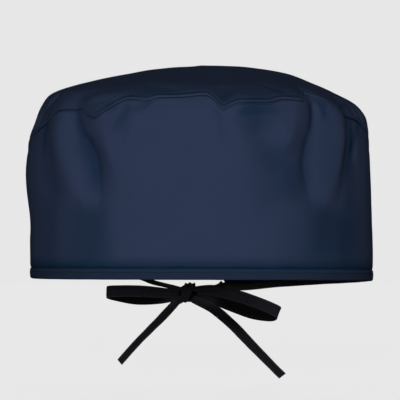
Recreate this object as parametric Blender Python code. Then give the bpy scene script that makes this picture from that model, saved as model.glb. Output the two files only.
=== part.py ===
"""Tie-back bandana cap, in metres with +Z up.

The cap faces -Y and its ties close it at the back, towards +Y. Left and right are as seen from
the front, so left is -X. The origin is the centre of the head opening, level with the front hem.

A place on the cloth is an angle and a run. The angle is in degrees around the cap from the front
centre, positive to the right. The run is the distance up the cloth from the level of the origin,
measured along the cap's mean profile, and the apex of the crown is at the run TOP.
"""

import math
from bisect import bisect_right
from typing import NamedTuple

import bmesh
import bpy
from mathutils import Matrix, Vector

CLOTH_WALL = 0.0012
HEM_WALL = 0.0022
HEM_HEIGHT = 0.0055
HEM_PROUD = 0.0004
TAPE_WALL = 0.001

# Room between two pieces that meet, wider along the seam because it runs aslant.
GAP = 0.0003
SEAM_GAP = 0.0005

# Points nearer than WELD are one. Directions are taken over RUN_SPAN up the cloth, TURN_SPAN
# degrees around it, and TAPE_SPAN of the way from one stop of a tape to the next.
WELD = 0.00001
RUN_SPAN = 0.0005
TURN_SPAN = 0.5
TAPE_SPAN = 0.05

# The angles of the cloth's two back edges. The gap between them rises in an arch under the
# crown, and the ties start a little way past the ends of the hem.
LEFT_EDGE = -158.7
RIGHT_EDGE = 172.5
ARCH_RISE = 0.006
MOUTH_ANGLE = 0.7
MOUTH_HEIGHT = 0.45
MOUTH_WIDTH = 0.0044
MOUTH_LEAN = 12.0

# Spacing of the columns and rows of the walls.
FRONT_REACH = 66.0
FRONT_STEP = 3.0
BACK_STEP = 7.5
PANEL_ROWS = 9
CROWN_ROWS = 11
TAPE_STEPS = 4

KNOT_CENTRE = Vector((-0.0081, 0.1037, -0.0064))
KNOT_SIZE = Vector((0.0100, 0.0094, 0.0102))
KNOT_ROUNDING = 0.0025

NAVY = (0.021, 0.032, 0.075, 1.0)
TIE_NAVY = (0.006, 0.007, 0.011, 1.0)


class Section(NamedTuple):
    """A level cut through the cap: its height, and its reach to each side of the centre."""

    height: float
    left: float
    right: float
    front: float
    back: float
    squareness: float


class Edge(NamedTuple):
    """A point on an edge of the cloth: how far around it is, and how far up."""

    angle: float
    run: float


class Fold(NamedTuple):
    """A crease, or a swell where the depth is negative, followed down from its top to its foot."""

    top_run: float
    top_angle: float
    middle_run: float
    middle_angle: float
    foot_run: float
    foot_angle: float
    half_width: float
    depth: float


class Stop(NamedTuple):
    """A point on a tape's route, its width there, and how far it leans from upright, in degrees."""

    x: float
    y: float
    z: float
    width: float
    lean: float


SECTIONS = (
    Section(-0.0120, 0.0894, 0.0904, 0.0960, 0.1000, 2.2),
    Section(0.0000, 0.0900, 0.0902, 0.0970, 0.1020, 2.2),
    Section(0.0280, 0.0904, 0.0899, 0.0984, 0.1050, 2.2),
    Section(0.0540, 0.0925, 0.0890, 0.0986, 0.1050, 2.2),
    Section(0.0720, 0.0910, 0.0882, 0.0974, 0.0990, 2.2),
    Section(0.0840, 0.0875, 0.0868, 0.0952, 0.0910, 2.2),
    Section(0.0910, 0.0848, 0.0824, 0.0920, 0.0840, 2.2),
    Section(0.0976, 0.0798, 0.0718, 0.0820, 0.0750, 2.15),
    Section(0.1039, 0.0618, 0.0578, 0.0600, 0.0600, 2.1),
    Section(0.1088, 0.0400, 0.0456, 0.0400, 0.0430, 2.0),
    Section(0.1124, 0.0180, 0.0240, 0.0200, 0.0230, 2.0),
    Section(0.1140, 0.0000, 0.0000, 0.0000, 0.0000, 2.0),
)

# The lower edge of the hem, which hangs lower at the back on the right.
HEM = (
    Edge(LEFT_EDGE, 0.0012),
    Edge(-120.0, 0.0022),
    Edge(-90.0, 0.0016),
    Edge(-45.0, 0.0008),
    Edge(0.0, 0.0005),
    Edge(90.0, 0.0000),
    Edge(130.0, -0.0014),
    Edge(154.0, -0.0034),
    Edge(168.0, -0.0054),
    Edge(RIGHT_EDGE, -0.0046),
)

# The seam between the side panel and the crown, with its dips where the cloth is pleated.
SEAM = (
    Edge(LEFT_EDGE, 0.0300),
    Edge(-140.0, 0.0400),
    Edge(-120.0, 0.0520),
    Edge(-90.0, 0.0690),
    Edge(-75.0, 0.0770),
    Edge(-61.5, 0.0820),
    Edge(-50.0, 0.0890),
    Edge(-42.5, 0.0880),
    Edge(-34.0, 0.0830),
    Edge(-28.5, 0.0895),
    Edge(-23.5, 0.0930),
    Edge(-17.0, 0.0930),
    Edge(-13.5, 0.0950),
    Edge(-0.5, 0.0962),
    Edge(6.0, 0.0870),
    Edge(15.0, 0.0930),
    Edge(34.0, 0.0950),
    Edge(41.5, 0.1004),
    Edge(46.5, 0.0912),
    Edge(53.0, 0.0858),
    Edge(63.5, 0.0842),
    Edge(75.0, 0.0782),
    Edge(90.0, 0.0700),
    Edge(120.0, 0.0540),
    Edge(150.0, 0.0380),
    Edge(RIGHT_EDGE, 0.0300),
)

FOLDS = (
    Fold(0.084, -61.0, 0.067, -55.5, 0.030, -51.0, 7.0, 0.0025),
    Fold(0.086, -50.0, 0.066, -42.5, 0.028, -36.5, 9.0, -0.0024),
    Fold(0.087, -42.0, 0.072, -34.5, 0.045, -28.5, 6.5, 0.0034),
    Fold(0.089, 6.0, 0.078, 7.0, 0.060, 8.0, 5.0, 0.0020),
    Fold(0.088, 23.0, 0.060, 25.5, 0.028, 26.5, 11.0, 0.0018),
    Fold(0.099, 38.5, 0.062, 30.0, 0.028, 32.0, 6.0, 0.0038),
    Fold(0.098, 44.0, 0.066, 41.0, 0.025, 37.5, 7.5, -0.0028),
    Fold(0.084, 55.0, 0.060, 49.0, 0.028, 45.0, 6.5, 0.0030),
    Fold(0.083, 65.0, 0.075, 60.0, 0.060, 56.0, 5.0, 0.0016),
)
FOLD_FADE_UP = 0.010
FOLD_FADE_DOWN = 0.45

LEAD_LEFT = (
    Stop(-0.0300, 0.0968, 0.0000, 0.0040, 62.0),
    Stop(-0.0210, 0.0988, -0.0024, 0.0040, 74.0),
    Stop(-0.0134, 0.1008, -0.0044, 0.0038, 74.0),
)
LEAD_RIGHT = (
    Stop(0.0092, 0.1009, -0.0034, 0.0040, 58.0),
    Stop(0.0030, 0.1010, -0.0043, 0.0040, 74.0),
    Stop(-0.0028, 0.1010, -0.0045, 0.0038, 74.0),
)
LOOP_LEFT = (
    Stop(-0.0134, 0.1047, -0.0068, 0.0042, 0.0),
    Stop(-0.0200, 0.1056, -0.0067, 0.0056, 4.0),
    Stop(-0.0330, 0.1058, -0.0058, 0.0066, 6.0),
    Stop(-0.0460, 0.1064, -0.0057, 0.0068, 4.0),
    Stop(-0.0528, 0.1092, -0.0062, 0.0068, 0.0),
    Stop(-0.0480, 0.1128, -0.0079, 0.0068, -6.0),
    Stop(-0.0360, 0.1136, -0.0100, 0.0068, -10.0),
    Stop(-0.0230, 0.1110, -0.0100, 0.0058, -6.0),
    Stop(-0.0134, 0.1070, -0.0090, 0.0042, 0.0),
)
LOOP_RIGHT = (
    Stop(-0.0028, 0.1047, -0.0050, 0.0044, 0.0),
    Stop(0.0070, 0.1058, -0.0052, 0.0062, 4.0),
    Stop(0.0190, 0.1062, -0.0080, 0.0068, 10.0),
    Stop(0.0300, 0.1062, -0.0116, 0.0068, 14.0),
    Stop(0.0388, 0.1072, -0.0151, 0.0068, 18.0),
    Stop(0.0430, 0.1102, -0.0177, 0.0068, 24.0),
    Stop(0.0392, 0.1134, -0.0194, 0.0068, 6.0),
    Stop(0.0290, 0.1142, -0.0181, 0.0068, -10.0),
    Stop(0.0180, 0.1128, -0.0143, 0.0066, -8.0),
    Stop(0.0070, 0.1098, -0.0105, 0.0056, -4.0),
    Stop(-0.0028, 0.1070, -0.0085, 0.0042, 0.0),
)
TAIL_LEFT = (
    Stop(-0.0127, 0.1020, -0.0107, 0.0048, 20.0),
    Stop(-0.0155, 0.1018, -0.0138, 0.0056, 40.0),
    Stop(-0.0242, 0.1022, -0.0226, 0.0068, 50.0),
    Stop(-0.0352, 0.1034, -0.0335, 0.0068, 53.0),
    Stop(-0.0457, 0.1044, -0.0452, 0.0068, 54.0),
)
TAIL_RIGHT = (
    Stop(-0.0035, 0.1022, -0.0107, 0.0048, 10.0),
    Stop(0.0068, 0.1012, -0.0158, 0.0064, 30.0),
    Stop(0.0180, 0.1010, -0.0252, 0.0068, 40.0),
    Stop(0.0302, 0.1024, -0.0378, 0.0068, 48.0),
    Stop(0.0452, 0.1040, -0.0530, 0.0068, 56.0),
)


def mean_reach(section):
    """The half width of a section, averaged over its four sides."""
    return (section.left + section.right + section.front + section.back) / 4


def section_runs(sections):
    """How far up the cloth each section is, with zero at the section whose height is zero."""
    runs = [sections[0].height]
    for below, above in zip(sections, sections[1:]):
        rise = above.height - below.height
        runs.append(runs[-1] + math.hypot(rise, mean_reach(above) - mean_reach(below)))
    return runs


RUNS = section_runs(SECTIONS)
TOP = RUNS[-1]


def smooth_value(places, values, place):
    """The value at a place, on a smooth curve that never overshoots the tabled values."""
    if place <= places[0]:
        return values[0]
    if place >= places[-1]:
        return values[-1]
    rates = [(b - a) / (q - p) for p, q, a, b in zip(places, places[1:], values, values[1:])]

    def slope(index):
        before = rates[max(index - 1, 0)]
        after = rates[min(index, len(rates) - 1)]
        if before * after <= 0.0:
            return 0.0
        return 2.0 * before * after / (before + after)

    index = bisect_right(places, place) - 1
    width = places[index + 1] - places[index]
    part = (place - places[index]) / width
    rest = 1.0 - part
    return (
        values[index] * rest * rest * (1.0 + 2.0 * part)
        + values[index + 1] * part * part * (1.0 + 2.0 * rest)
        + slope(index) * width * part * rest * rest
        - slope(index + 1) * width * part * part * rest
    )


def edge_run(edge, angle):
    """How far up the cloth an edge is at an angle."""
    return smooth_value([point.angle for point in edge], [point.run for point in edge], angle)


def section_at(run):
    """The level cut through the cap at a run."""
    return Section(*(smooth_value(RUNS, column, run) for column in zip(*SECTIONS)))


def form_point(angle, run):
    """A point on the cap's smooth outer form."""
    section = section_at(run)
    turn = math.radians(angle)
    sideways = math.sin(turn)
    forwards = math.cos(turn)
    side = max(section.right if sideways > 0.0 else section.left, WELD)
    face = max(section.front if forwards > 0.0 else section.back, WELD)
    power = section.squareness
    reach = (abs(sideways / side) ** power + abs(forwards / face) ** power) ** (-1.0 / power)
    if run >= TOP:
        reach = 0.0
    return Vector((reach * sideways, -reach * forwards, section.height))


def outward(angle, run):
    """The direction straight out of the smooth form."""
    if run > TOP - RUN_SPAN:
        return Vector((0.0, 0.0, 1.0))
    around = form_point(angle + TURN_SPAN, run) - form_point(angle - TURN_SPAN, run)
    upward = form_point(angle, run + RUN_SPAN) - form_point(angle, run - RUN_SPAN)
    return around.cross(upward).normalized()


def ease(part):
    """A smooth step from 0 to 1."""
    part = min(max(part, 0.0), 1.0)
    return part * part * (3.0 - 2.0 * part)


def fold_depth(angle, run):
    """How far the folds draw the cloth in from the smooth form."""
    total = 0.0
    for fold in FOLDS:
        length = fold.top_run - fold.foot_run
        fade = ease((run - fold.foot_run) / (length * FOLD_FADE_DOWN))
        fade *= ease((fold.top_run + FOLD_FADE_UP - run) / FOLD_FADE_UP)
        if fade == 0.0:
            continue
        places = (fold.foot_run, fold.middle_run, fold.top_run)
        centre = smooth_value(places, (fold.foot_angle, fold.middle_angle, fold.top_angle), run)
        aside = abs(angle - centre) / fold.half_width
        if aside < 1.0:
            total += fold.depth * fade * (0.5 + 0.5 * math.cos(math.pi * aside))
    return total


def cloth_point(angle, run, depth):
    """A point in the cloth, at a depth below its outer face."""
    return form_point(angle, run) - outward(angle, run) * (fold_depth(angle, run) + depth)


def steps(start, stop, step):
    """Evenly spaced values from start to stop, about a step apart."""
    count = max(1, round((stop - start) / step))
    return [start + (stop - start) * index / count for index in range(count + 1)]


PANEL_COLUMNS = (
    steps(LEFT_EDGE, -FRONT_REACH, BACK_STEP)
    + steps(-FRONT_REACH, FRONT_REACH, FRONT_STEP)[1:]
    + steps(FRONT_REACH, RIGHT_EDGE, BACK_STEP)[1:]
)
CROWN_COLUMNS = PANEL_COLUMNS + steps(RIGHT_EDGE, LEFT_EDGE + 360.0, BACK_STEP)[1:]


def panel_point(angle, up, face):
    """The side panel, from the top of the hem to the seam."""
    foot = edge_run(HEM, angle) + HEM_HEIGHT + GAP
    top = edge_run(SEAM, angle)
    return cloth_point(angle, foot + (top - foot) * up, CLOTH_WALL * face)


def crown_foot(angle):
    """The crown's lower edge: the seam, and at the back the arch over the gap for the ties."""
    if angle <= RIGHT_EDGE:
        return edge_run(SEAM, angle) + SEAM_GAP
    across = (angle - RIGHT_EDGE) / (LEFT_EDGE + 360.0 - RIGHT_EDGE)
    return SEAM[-1].run + SEAM_GAP + ARCH_RISE * math.sin(math.pi * across)


def crown_point(angle, up, face):
    """The crown, from its lower edge to the apex."""
    foot = crown_foot(angle)
    return cloth_point(angle, foot + (TOP - foot) * up, CLOTH_WALL * face)


def hem_point(angle, up, face):
    """The hem casing, from the lower edge to the top of the hem."""
    run = edge_run(HEM, angle) + HEM_HEIGHT * up
    return cloth_point(angle, run, HEM_WALL * face - HEM_PROUD)


def route_point(stops, place):
    """The place and width of a tape, on a smooth curve through its stops."""
    index = min(int(place), len(stops) - 2)
    part = place - index
    before, start, end, after = (
        stops[min(max(number, 0), len(stops) - 1)] for number in range(index - 1, index + 3)
    )
    return Stop(*(
        0.5 * (2.0 * b + (c - a) * part + (2.0 * a - 5.0 * b + 4.0 * c - d) * part ** 2
               + (3.0 * b - a - 3.0 * c + d) * part ** 3)
        for a, b, c, d in zip(before, start, end, after)
    ))


def tape_point(stops, place, up, face):
    """A point in a tape: up goes from 0 at its lower edge to 1 at its upper edge."""
    stop = route_point(stops, place)
    last = len(stops) - 1
    ahead = route_point(stops, min(place + TAPE_SPAN, last))
    behind = route_point(stops, max(place - TAPE_SPAN, 0.0))
    along = (Vector(ahead[:3]) - Vector(behind[:3])).normalized()
    upright = (Vector((0.0, 0.0, 1.0)) - along * along.z).normalized()
    across = Matrix.Rotation(math.radians(stop.lean), 3, along) @ upright
    through = across.cross(along)
    return Vector(stop[:3]) + across * (stop.width * (up - 0.5)) + through * TAPE_WALL * (face - 0.5)


def material_of(name, colour, roughness):
    """The named finish, made once."""
    material = bpy.data.materials.get(name)
    if material is None:
        material = bpy.data.materials.new(name)
        material.use_nodes = True
        shader = material.node_tree.nodes["Principled BSDF"]
        shader.inputs["Base Color"].default_value = colour
        shader.inputs["Roughness"].default_value = roughness
        shader.inputs["Metallic"].default_value = 0.0
    return material


def add_object(name, mesh, material):
    """Put a finished mesh in the scene under its name."""
    data = bpy.data.meshes.new(name)
    mesh.to_mesh(data)
    mesh.free()
    data.materials.append(material)
    data.shade_smooth()
    piece = bpy.data.objects.new(name, data)
    bpy.context.collection.objects.link(piece)
    return piece


def add_wall(name, columns, rows, point, material):
    """A closed wall: two grids bent to point(column, up, face), joined all round their edges.

    The inner grid comes first and is turned round before the outer one is made.
    """
    mesh = bmesh.new()
    last = len(columns) - 1
    for face in (1.0, 0.0):
        bmesh.ops.reverse_faces(mesh, faces=mesh.faces)
        grid = bmesh.ops.create_grid(mesh, x_segments=last, y_segments=rows, size=0.5)
        for vertex in grid["verts"]:
            column = columns[round((vertex.co.x + 0.5) * last)]
            vertex.co = point(column, vertex.co.y + 0.5, face)
    bmesh.ops.remove_doubles(mesh, verts=mesh.verts, dist=WELD)
    border = [edge for edge in mesh.edges if edge.is_boundary]
    bmesh.ops.bridge_loops(mesh, edges=border)
    return add_object(name, mesh, material)


def add_tape(name, stops, material):
    """A flat tape along its route."""
    last = len(stops) - 1
    columns = [place / TAPE_STEPS for place in range(last * TAPE_STEPS + 1)]

    def point(place, up, face):
        return tape_point(stops, place, up, face)

    return add_wall(name, columns, 1, point, material)


def casing_mouth(angle):
    """Where a tie comes out of the end of the hem casing."""
    run = edge_run(HEM, angle) + HEM_HEIGHT * MOUTH_HEIGHT
    middle = cloth_point(angle, run, HEM_WALL / 2 - HEM_PROUD)
    return Stop(*middle, MOUTH_WIDTH, MOUTH_LEAN)


def add_knot(material):
    """The bow's knot, a rounded block."""
    mesh = bmesh.new()
    bmesh.ops.create_cube(mesh, size=1.0)
    bmesh.ops.scale(mesh, verts=mesh.verts, vec=KNOT_SIZE)
    bmesh.ops.bevel(
        mesh, geom=mesh.edges, offset=KNOT_ROUNDING, segments=3, profile=0.5, affect="EDGES",
        material=-1,
    )
    bmesh.ops.translate(mesh, verts=mesh.verts, vec=KNOT_CENTRE)
    return add_object("bow_knot", mesh, material)


def build():
    """Clear the scene and make every piece of the cap."""
    for piece in list(bpy.data.objects):
        bpy.data.objects.remove(piece, do_unlink=True)
    cotton = material_of("navy_cotton", NAVY, 0.9)
    tape = material_of("tie_tape", TIE_NAVY, 0.85)
    add_wall("side_panel", PANEL_COLUMNS, PANEL_ROWS, panel_point, cotton)
    add_wall("crown_panel", CROWN_COLUMNS, CROWN_ROWS, crown_point, cotton)
    add_wall("hem_casing", PANEL_COLUMNS, 2, hem_point, cotton)
    left_mouth = casing_mouth(LEFT_EDGE - MOUTH_ANGLE)
    right_mouth = casing_mouth(RIGHT_EDGE + MOUTH_ANGLE)
    add_tape("tie_lead_left", (left_mouth, *LEAD_LEFT), tape)
    add_tape("tie_lead_right", (right_mouth, *LEAD_RIGHT), tape)
    add_knot(tape)
    add_tape("bow_loop_left", LOOP_LEFT, tape)
    add_tape("bow_loop_right", LOOP_RIGHT, tape)
    add_tape("tie_tail_left", TAIL_LEFT, tape)
    add_tape("tie_tail_right", TAIL_RIGHT, tape)


build()
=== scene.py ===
"""The looks of a tie-back bandana cap: its cloth, hem, seam, ties and bow, in a plain studio.

Metres, +Z up. The cap faces -Y, its ties close it at +Y, and left and right are as seen from the
front, so left is -X. The origin is the centre of the head opening, level with the front hem.

A place on the cloth is an angle and a run. The angle is in degrees around the cap from the front
centre, positive to the right. The run is the distance up the cloth from the level of the origin.
"""

import logging
import math
import random
from collections.abc import Callable, Sequence
from dataclasses import dataclass, field
from enum import Enum
from functools import cache
from itertools import starmap
from typing import NamedTuple

import bmesh
import bpy
import numpy as np
from mathutils import Matrix, Vector, noise


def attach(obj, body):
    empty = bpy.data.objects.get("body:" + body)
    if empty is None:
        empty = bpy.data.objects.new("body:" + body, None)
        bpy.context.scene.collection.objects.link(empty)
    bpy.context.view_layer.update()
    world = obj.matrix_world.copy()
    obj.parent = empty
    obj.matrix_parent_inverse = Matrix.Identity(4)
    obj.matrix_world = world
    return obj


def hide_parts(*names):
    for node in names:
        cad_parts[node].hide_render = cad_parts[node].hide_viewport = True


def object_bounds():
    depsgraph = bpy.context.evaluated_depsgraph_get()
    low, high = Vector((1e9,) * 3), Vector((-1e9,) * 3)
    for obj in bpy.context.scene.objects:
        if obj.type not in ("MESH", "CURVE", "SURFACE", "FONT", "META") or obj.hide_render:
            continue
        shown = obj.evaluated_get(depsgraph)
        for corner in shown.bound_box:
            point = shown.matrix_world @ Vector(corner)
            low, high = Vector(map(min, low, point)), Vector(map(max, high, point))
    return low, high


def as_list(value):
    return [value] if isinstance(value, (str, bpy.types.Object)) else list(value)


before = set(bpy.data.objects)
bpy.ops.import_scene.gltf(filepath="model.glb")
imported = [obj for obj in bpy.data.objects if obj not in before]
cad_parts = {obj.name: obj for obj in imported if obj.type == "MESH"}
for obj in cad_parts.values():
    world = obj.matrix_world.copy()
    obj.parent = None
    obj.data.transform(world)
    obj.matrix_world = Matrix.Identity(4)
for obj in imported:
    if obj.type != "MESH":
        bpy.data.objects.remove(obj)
CAD_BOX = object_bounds()
LOG = logging.getLogger("cap")
BODY = "root"

Array = np.ndarray
Shape = bmesh.types.BMesh
Piece = bpy.types.Object
Material = bpy.types.Material
NodeTree = bpy.types.NodeTree
Node = bpy.types.Node
Socket = bpy.types.NodeSocket
Sockets = bpy.types.NodeOutputs
Pair = tuple[float, float]
Triple = tuple[float, float, float]
# Points closer together than this are one point.
WELD = 0.000001


class Section(NamedTuple):
    """A level cut through the cap: its height, and its reach to each side of the centre.

    Its squareness is 2 where it is round, and more where it is squarer.
    """

    height: float
    left: float
    right: float
    front: float
    back: float
    squareness: float


class Edge(NamedTuple):
    """A point on an edge of the cloth: how far around it is, and how far up."""

    angle: float
    run: float


class Crease(NamedTuple):
    """A crease in the cloth, or a ridge where the depth is negative, from its start to its end.

    It reaches left_width metres to its left and right_width to its right, as seen going along it.
    """

    start_angle: float
    start_run: float
    middle_angle: float
    middle_run: float
    end_angle: float
    end_run: float
    left_width: float
    right_width: float
    depth: float


class CornerRow(NamedTuple):
    """How a corner's big fold lies at one run, as angles away from the front and depths there.

    From the front, the cloth turns in at the brink, is deepest in the crease, stands out at the
    lobe's crest and falls into the valley behind it.
    """

    run: float
    brink: float
    brink_depth: float
    crease: float
    crease_depth: float
    crest: float
    crest_depth: float
    valley: float
    valley_depth: float


class Stop(NamedTuple):
    """A point on a tape's route, its width there, and how far it leans from upright, in degrees."""

    x: float
    y: float
    z: float
    width: float
    lean: float


def joined_slope(before: Array, after: Array) -> Array:
    """The slope where two straight stretches meet, which is level where they turn back."""
    together = np.where(before + after == 0.0, 1.0, before + after)
    return np.where(before * after > 0.0, 2.0 * before * after / together, 0.0)


def curve_between(
    part: Array, width: Array, levels: tuple[Array, Array], slopes: tuple[Array, Array]
) -> Array:
    """Read a smooth curve between two of its points.

    Args:
        part: How far along from the first point to the second each value is wanted, from 0 to 1.
        width: How far apart the two points are.
        levels: The curve's values at the two points.
        slopes: The curve's slopes there.

    Returns:
        The curve's value at each part.
    """
    rest = 1.0 - part
    return (
        levels[0] * rest * rest * (1.0 + 2.0 * part)
        + levels[1] * part * part * (1.0 + 2.0 * rest)
        + slopes[0] * width * part * rest * rest
        - slopes[1] * width * part * part * rest
    )


def curve_values(places: Sequence[float], values: Sequence[float], at: Array) -> Array:
    """Read a smooth curve that never overshoots the values it goes through.

    Args:
        places: Where the values are given, in rising order.
        values: The curve's value at each of them.
        at: Where the curve is wanted.

    Returns:
        The curve's value at each wanted place.
    """
    known = np.asarray(places, float)
    levels = np.asarray(values, float)
    rates = np.diff(levels) / np.diff(known)
    slopes = joined_slope(np.concatenate((rates[:1], rates)), np.concatenate((rates, rates[-1:])))
    place = np.clip(np.asarray(at, float), known[0], known[-1])
    index = np.clip(np.searchsorted(known, place, side="right") - 1, 0, len(known) - 2)
    width = known[index + 1] - known[index]
    ends = index, index + 1
    part = (place - known[index]) / width
    return curve_between(part, width, tuple(levels[end] for end in ends), tuple(slopes[end] for end in ends))


def row_curves(places: Array, values: Array, at: Array, bends: dict[int, float]) -> Array:
    """Read a curve of its own for each point, which never overshoots its values.

    Args:
        places: One row for each point, with its curve's places in rising order.
        values: The curves' values at those places.
        at: Where each curve is wanted.
        bends: Which of the places are sharp bends, and how steeply a curve meets each of them, as
            a share of the straight line's slope.

    Returns:
        Each curve's value, or its nearest end value outside its places.
    """
    rates = np.diff(values, axis=1) / np.diff(places, axis=1)
    level = np.zeros((len(at), 1))
    before = np.concatenate((level, rates), axis=1)
    after = np.concatenate((rates, level), axis=1)
    coming = joined_slope(before, after)
    going = coming.copy()
    for index, share in bends.items():
        coming[:, index] = before[:, index] * share
        going[:, index] = after[:, index] * share
    place = np.clip(at, places[:, 0], places[:, -1])
    total = np.zeros(len(at))
    for index in range(places.shape[1] - 1):
        start, end = places[:, index], places[:, index + 1]
        part = np.clip((place - start) / (end - start), 0.0, 1.0)
        levels = values[:, index], values[:, index + 1]
        value = curve_between(part, end - start, levels, (going[:, index], coming[:, index + 1]))
        total = np.where((place >= start) & (place <= end), value, total)
    return total


def ease(part: Array) -> Array:
    """A smooth step from 0 to 1."""
    part = np.clip(part, 0.0, 1.0)
    return part * part * (3.0 - 2.0 * part)


def hump(aside: Array) -> Array:
    """A smooth hump: 1 in the middle, and 0 from one unit aside."""
    return 0.5 + 0.5 * np.cos(np.pi * np.clip(np.abs(aside), 0.0, 1.0))


def unit(vectors: Array) -> Array:
    """The directions of vectors, one in each row."""
    lengths = np.linalg.norm(vectors, axis=-1, keepdims=True)
    return vectors / np.maximum(lengths, WELD * WELD)


def ripple(x: Array, y: Array, seed: float) -> Array:
    """Smooth irregular waves of about one unit, from -1 to 1, over two coordinates."""
    flat = [noise.noise(Vector((u, v, seed))) for u, v in zip(x.ravel(), y.ravel())]
    return np.array(flat).reshape(x.shape)


def half_turn(angle: Array) -> Array:
    """The same angle, less than half a turn from 0."""
    return (angle + 180.0) % 360.0 - 180.0


def lengths_along(line: Array) -> Array:
    """How far along a line each of its points is."""
    spans = np.linalg.norm(np.diff(line, axis=0), axis=1)
    return np.concatenate(((0.0,), np.cumsum(spans)))


def nearest(line: Array, spots: Array) -> tuple[Array, Array, Array]:
    """Find where a line passes nearest to each spot.

    Args:
        line: The line's points, in order.
        spots: The spots.

    Returns:
        Each spot's distance from the line, its side, which is positive on the left, and how far
        along the line it is, from 0 to 1.
    """
    best = np.full(len(spots), np.inf)
    side, share = np.zeros(len(spots)), np.zeros(len(spots))
    for index, (start, step) in enumerate(zip(line, np.diff(line, axis=0))):
        offset = spots - start
        along = np.clip(offset @ step / (step @ step), 0.0, 1.0)
        apart = offset - along[:, None] * step
        distance = np.hypot(apart[:, 0], apart[:, 1])
        closer = distance < best
        best = np.where(closer, distance, best)
        side = np.where(closer, step[0] * offset[:, 1] - step[1] * offset[:, 0], side)
        share = np.where(closer, (index + along) / (len(line) - 1), share)
    return best, side, share


class Step(NamedTuple):
    """A smooth step: where it starts, and how far on it ends, or how far back if negative."""

    start: float
    reach: float

    def at(self, place: Array) -> Array:
        """How far up the step each place is, from 0 to 1."""
        return ease((place - self.start) / self.reach)


class Hump(NamedTuple):
    """A smooth hump: its middle, and how far it reaches to each side."""

    middle: float
    reach: float

    def at(self, place: Array) -> Array:
        """How high the hump is at each place, from 0 to 1."""
        return hump((place - self.middle) / self.reach)


class Waves(NamedTuple):
    """Irregular waves: their height, their lengths in two directions, and their seed."""

    height: float
    length: float
    width: float
    seed: float

    def at(self, along: Array, across: Array) -> Array:
        """How high the waves are at each place."""
        return self.height * ripple(along / self.length, across / self.width, self.seed)

    def on_line(self, along: Array) -> Array:
        """How high the waves are along a line."""
        return self.at(along, np.zeros_like(along))


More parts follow.
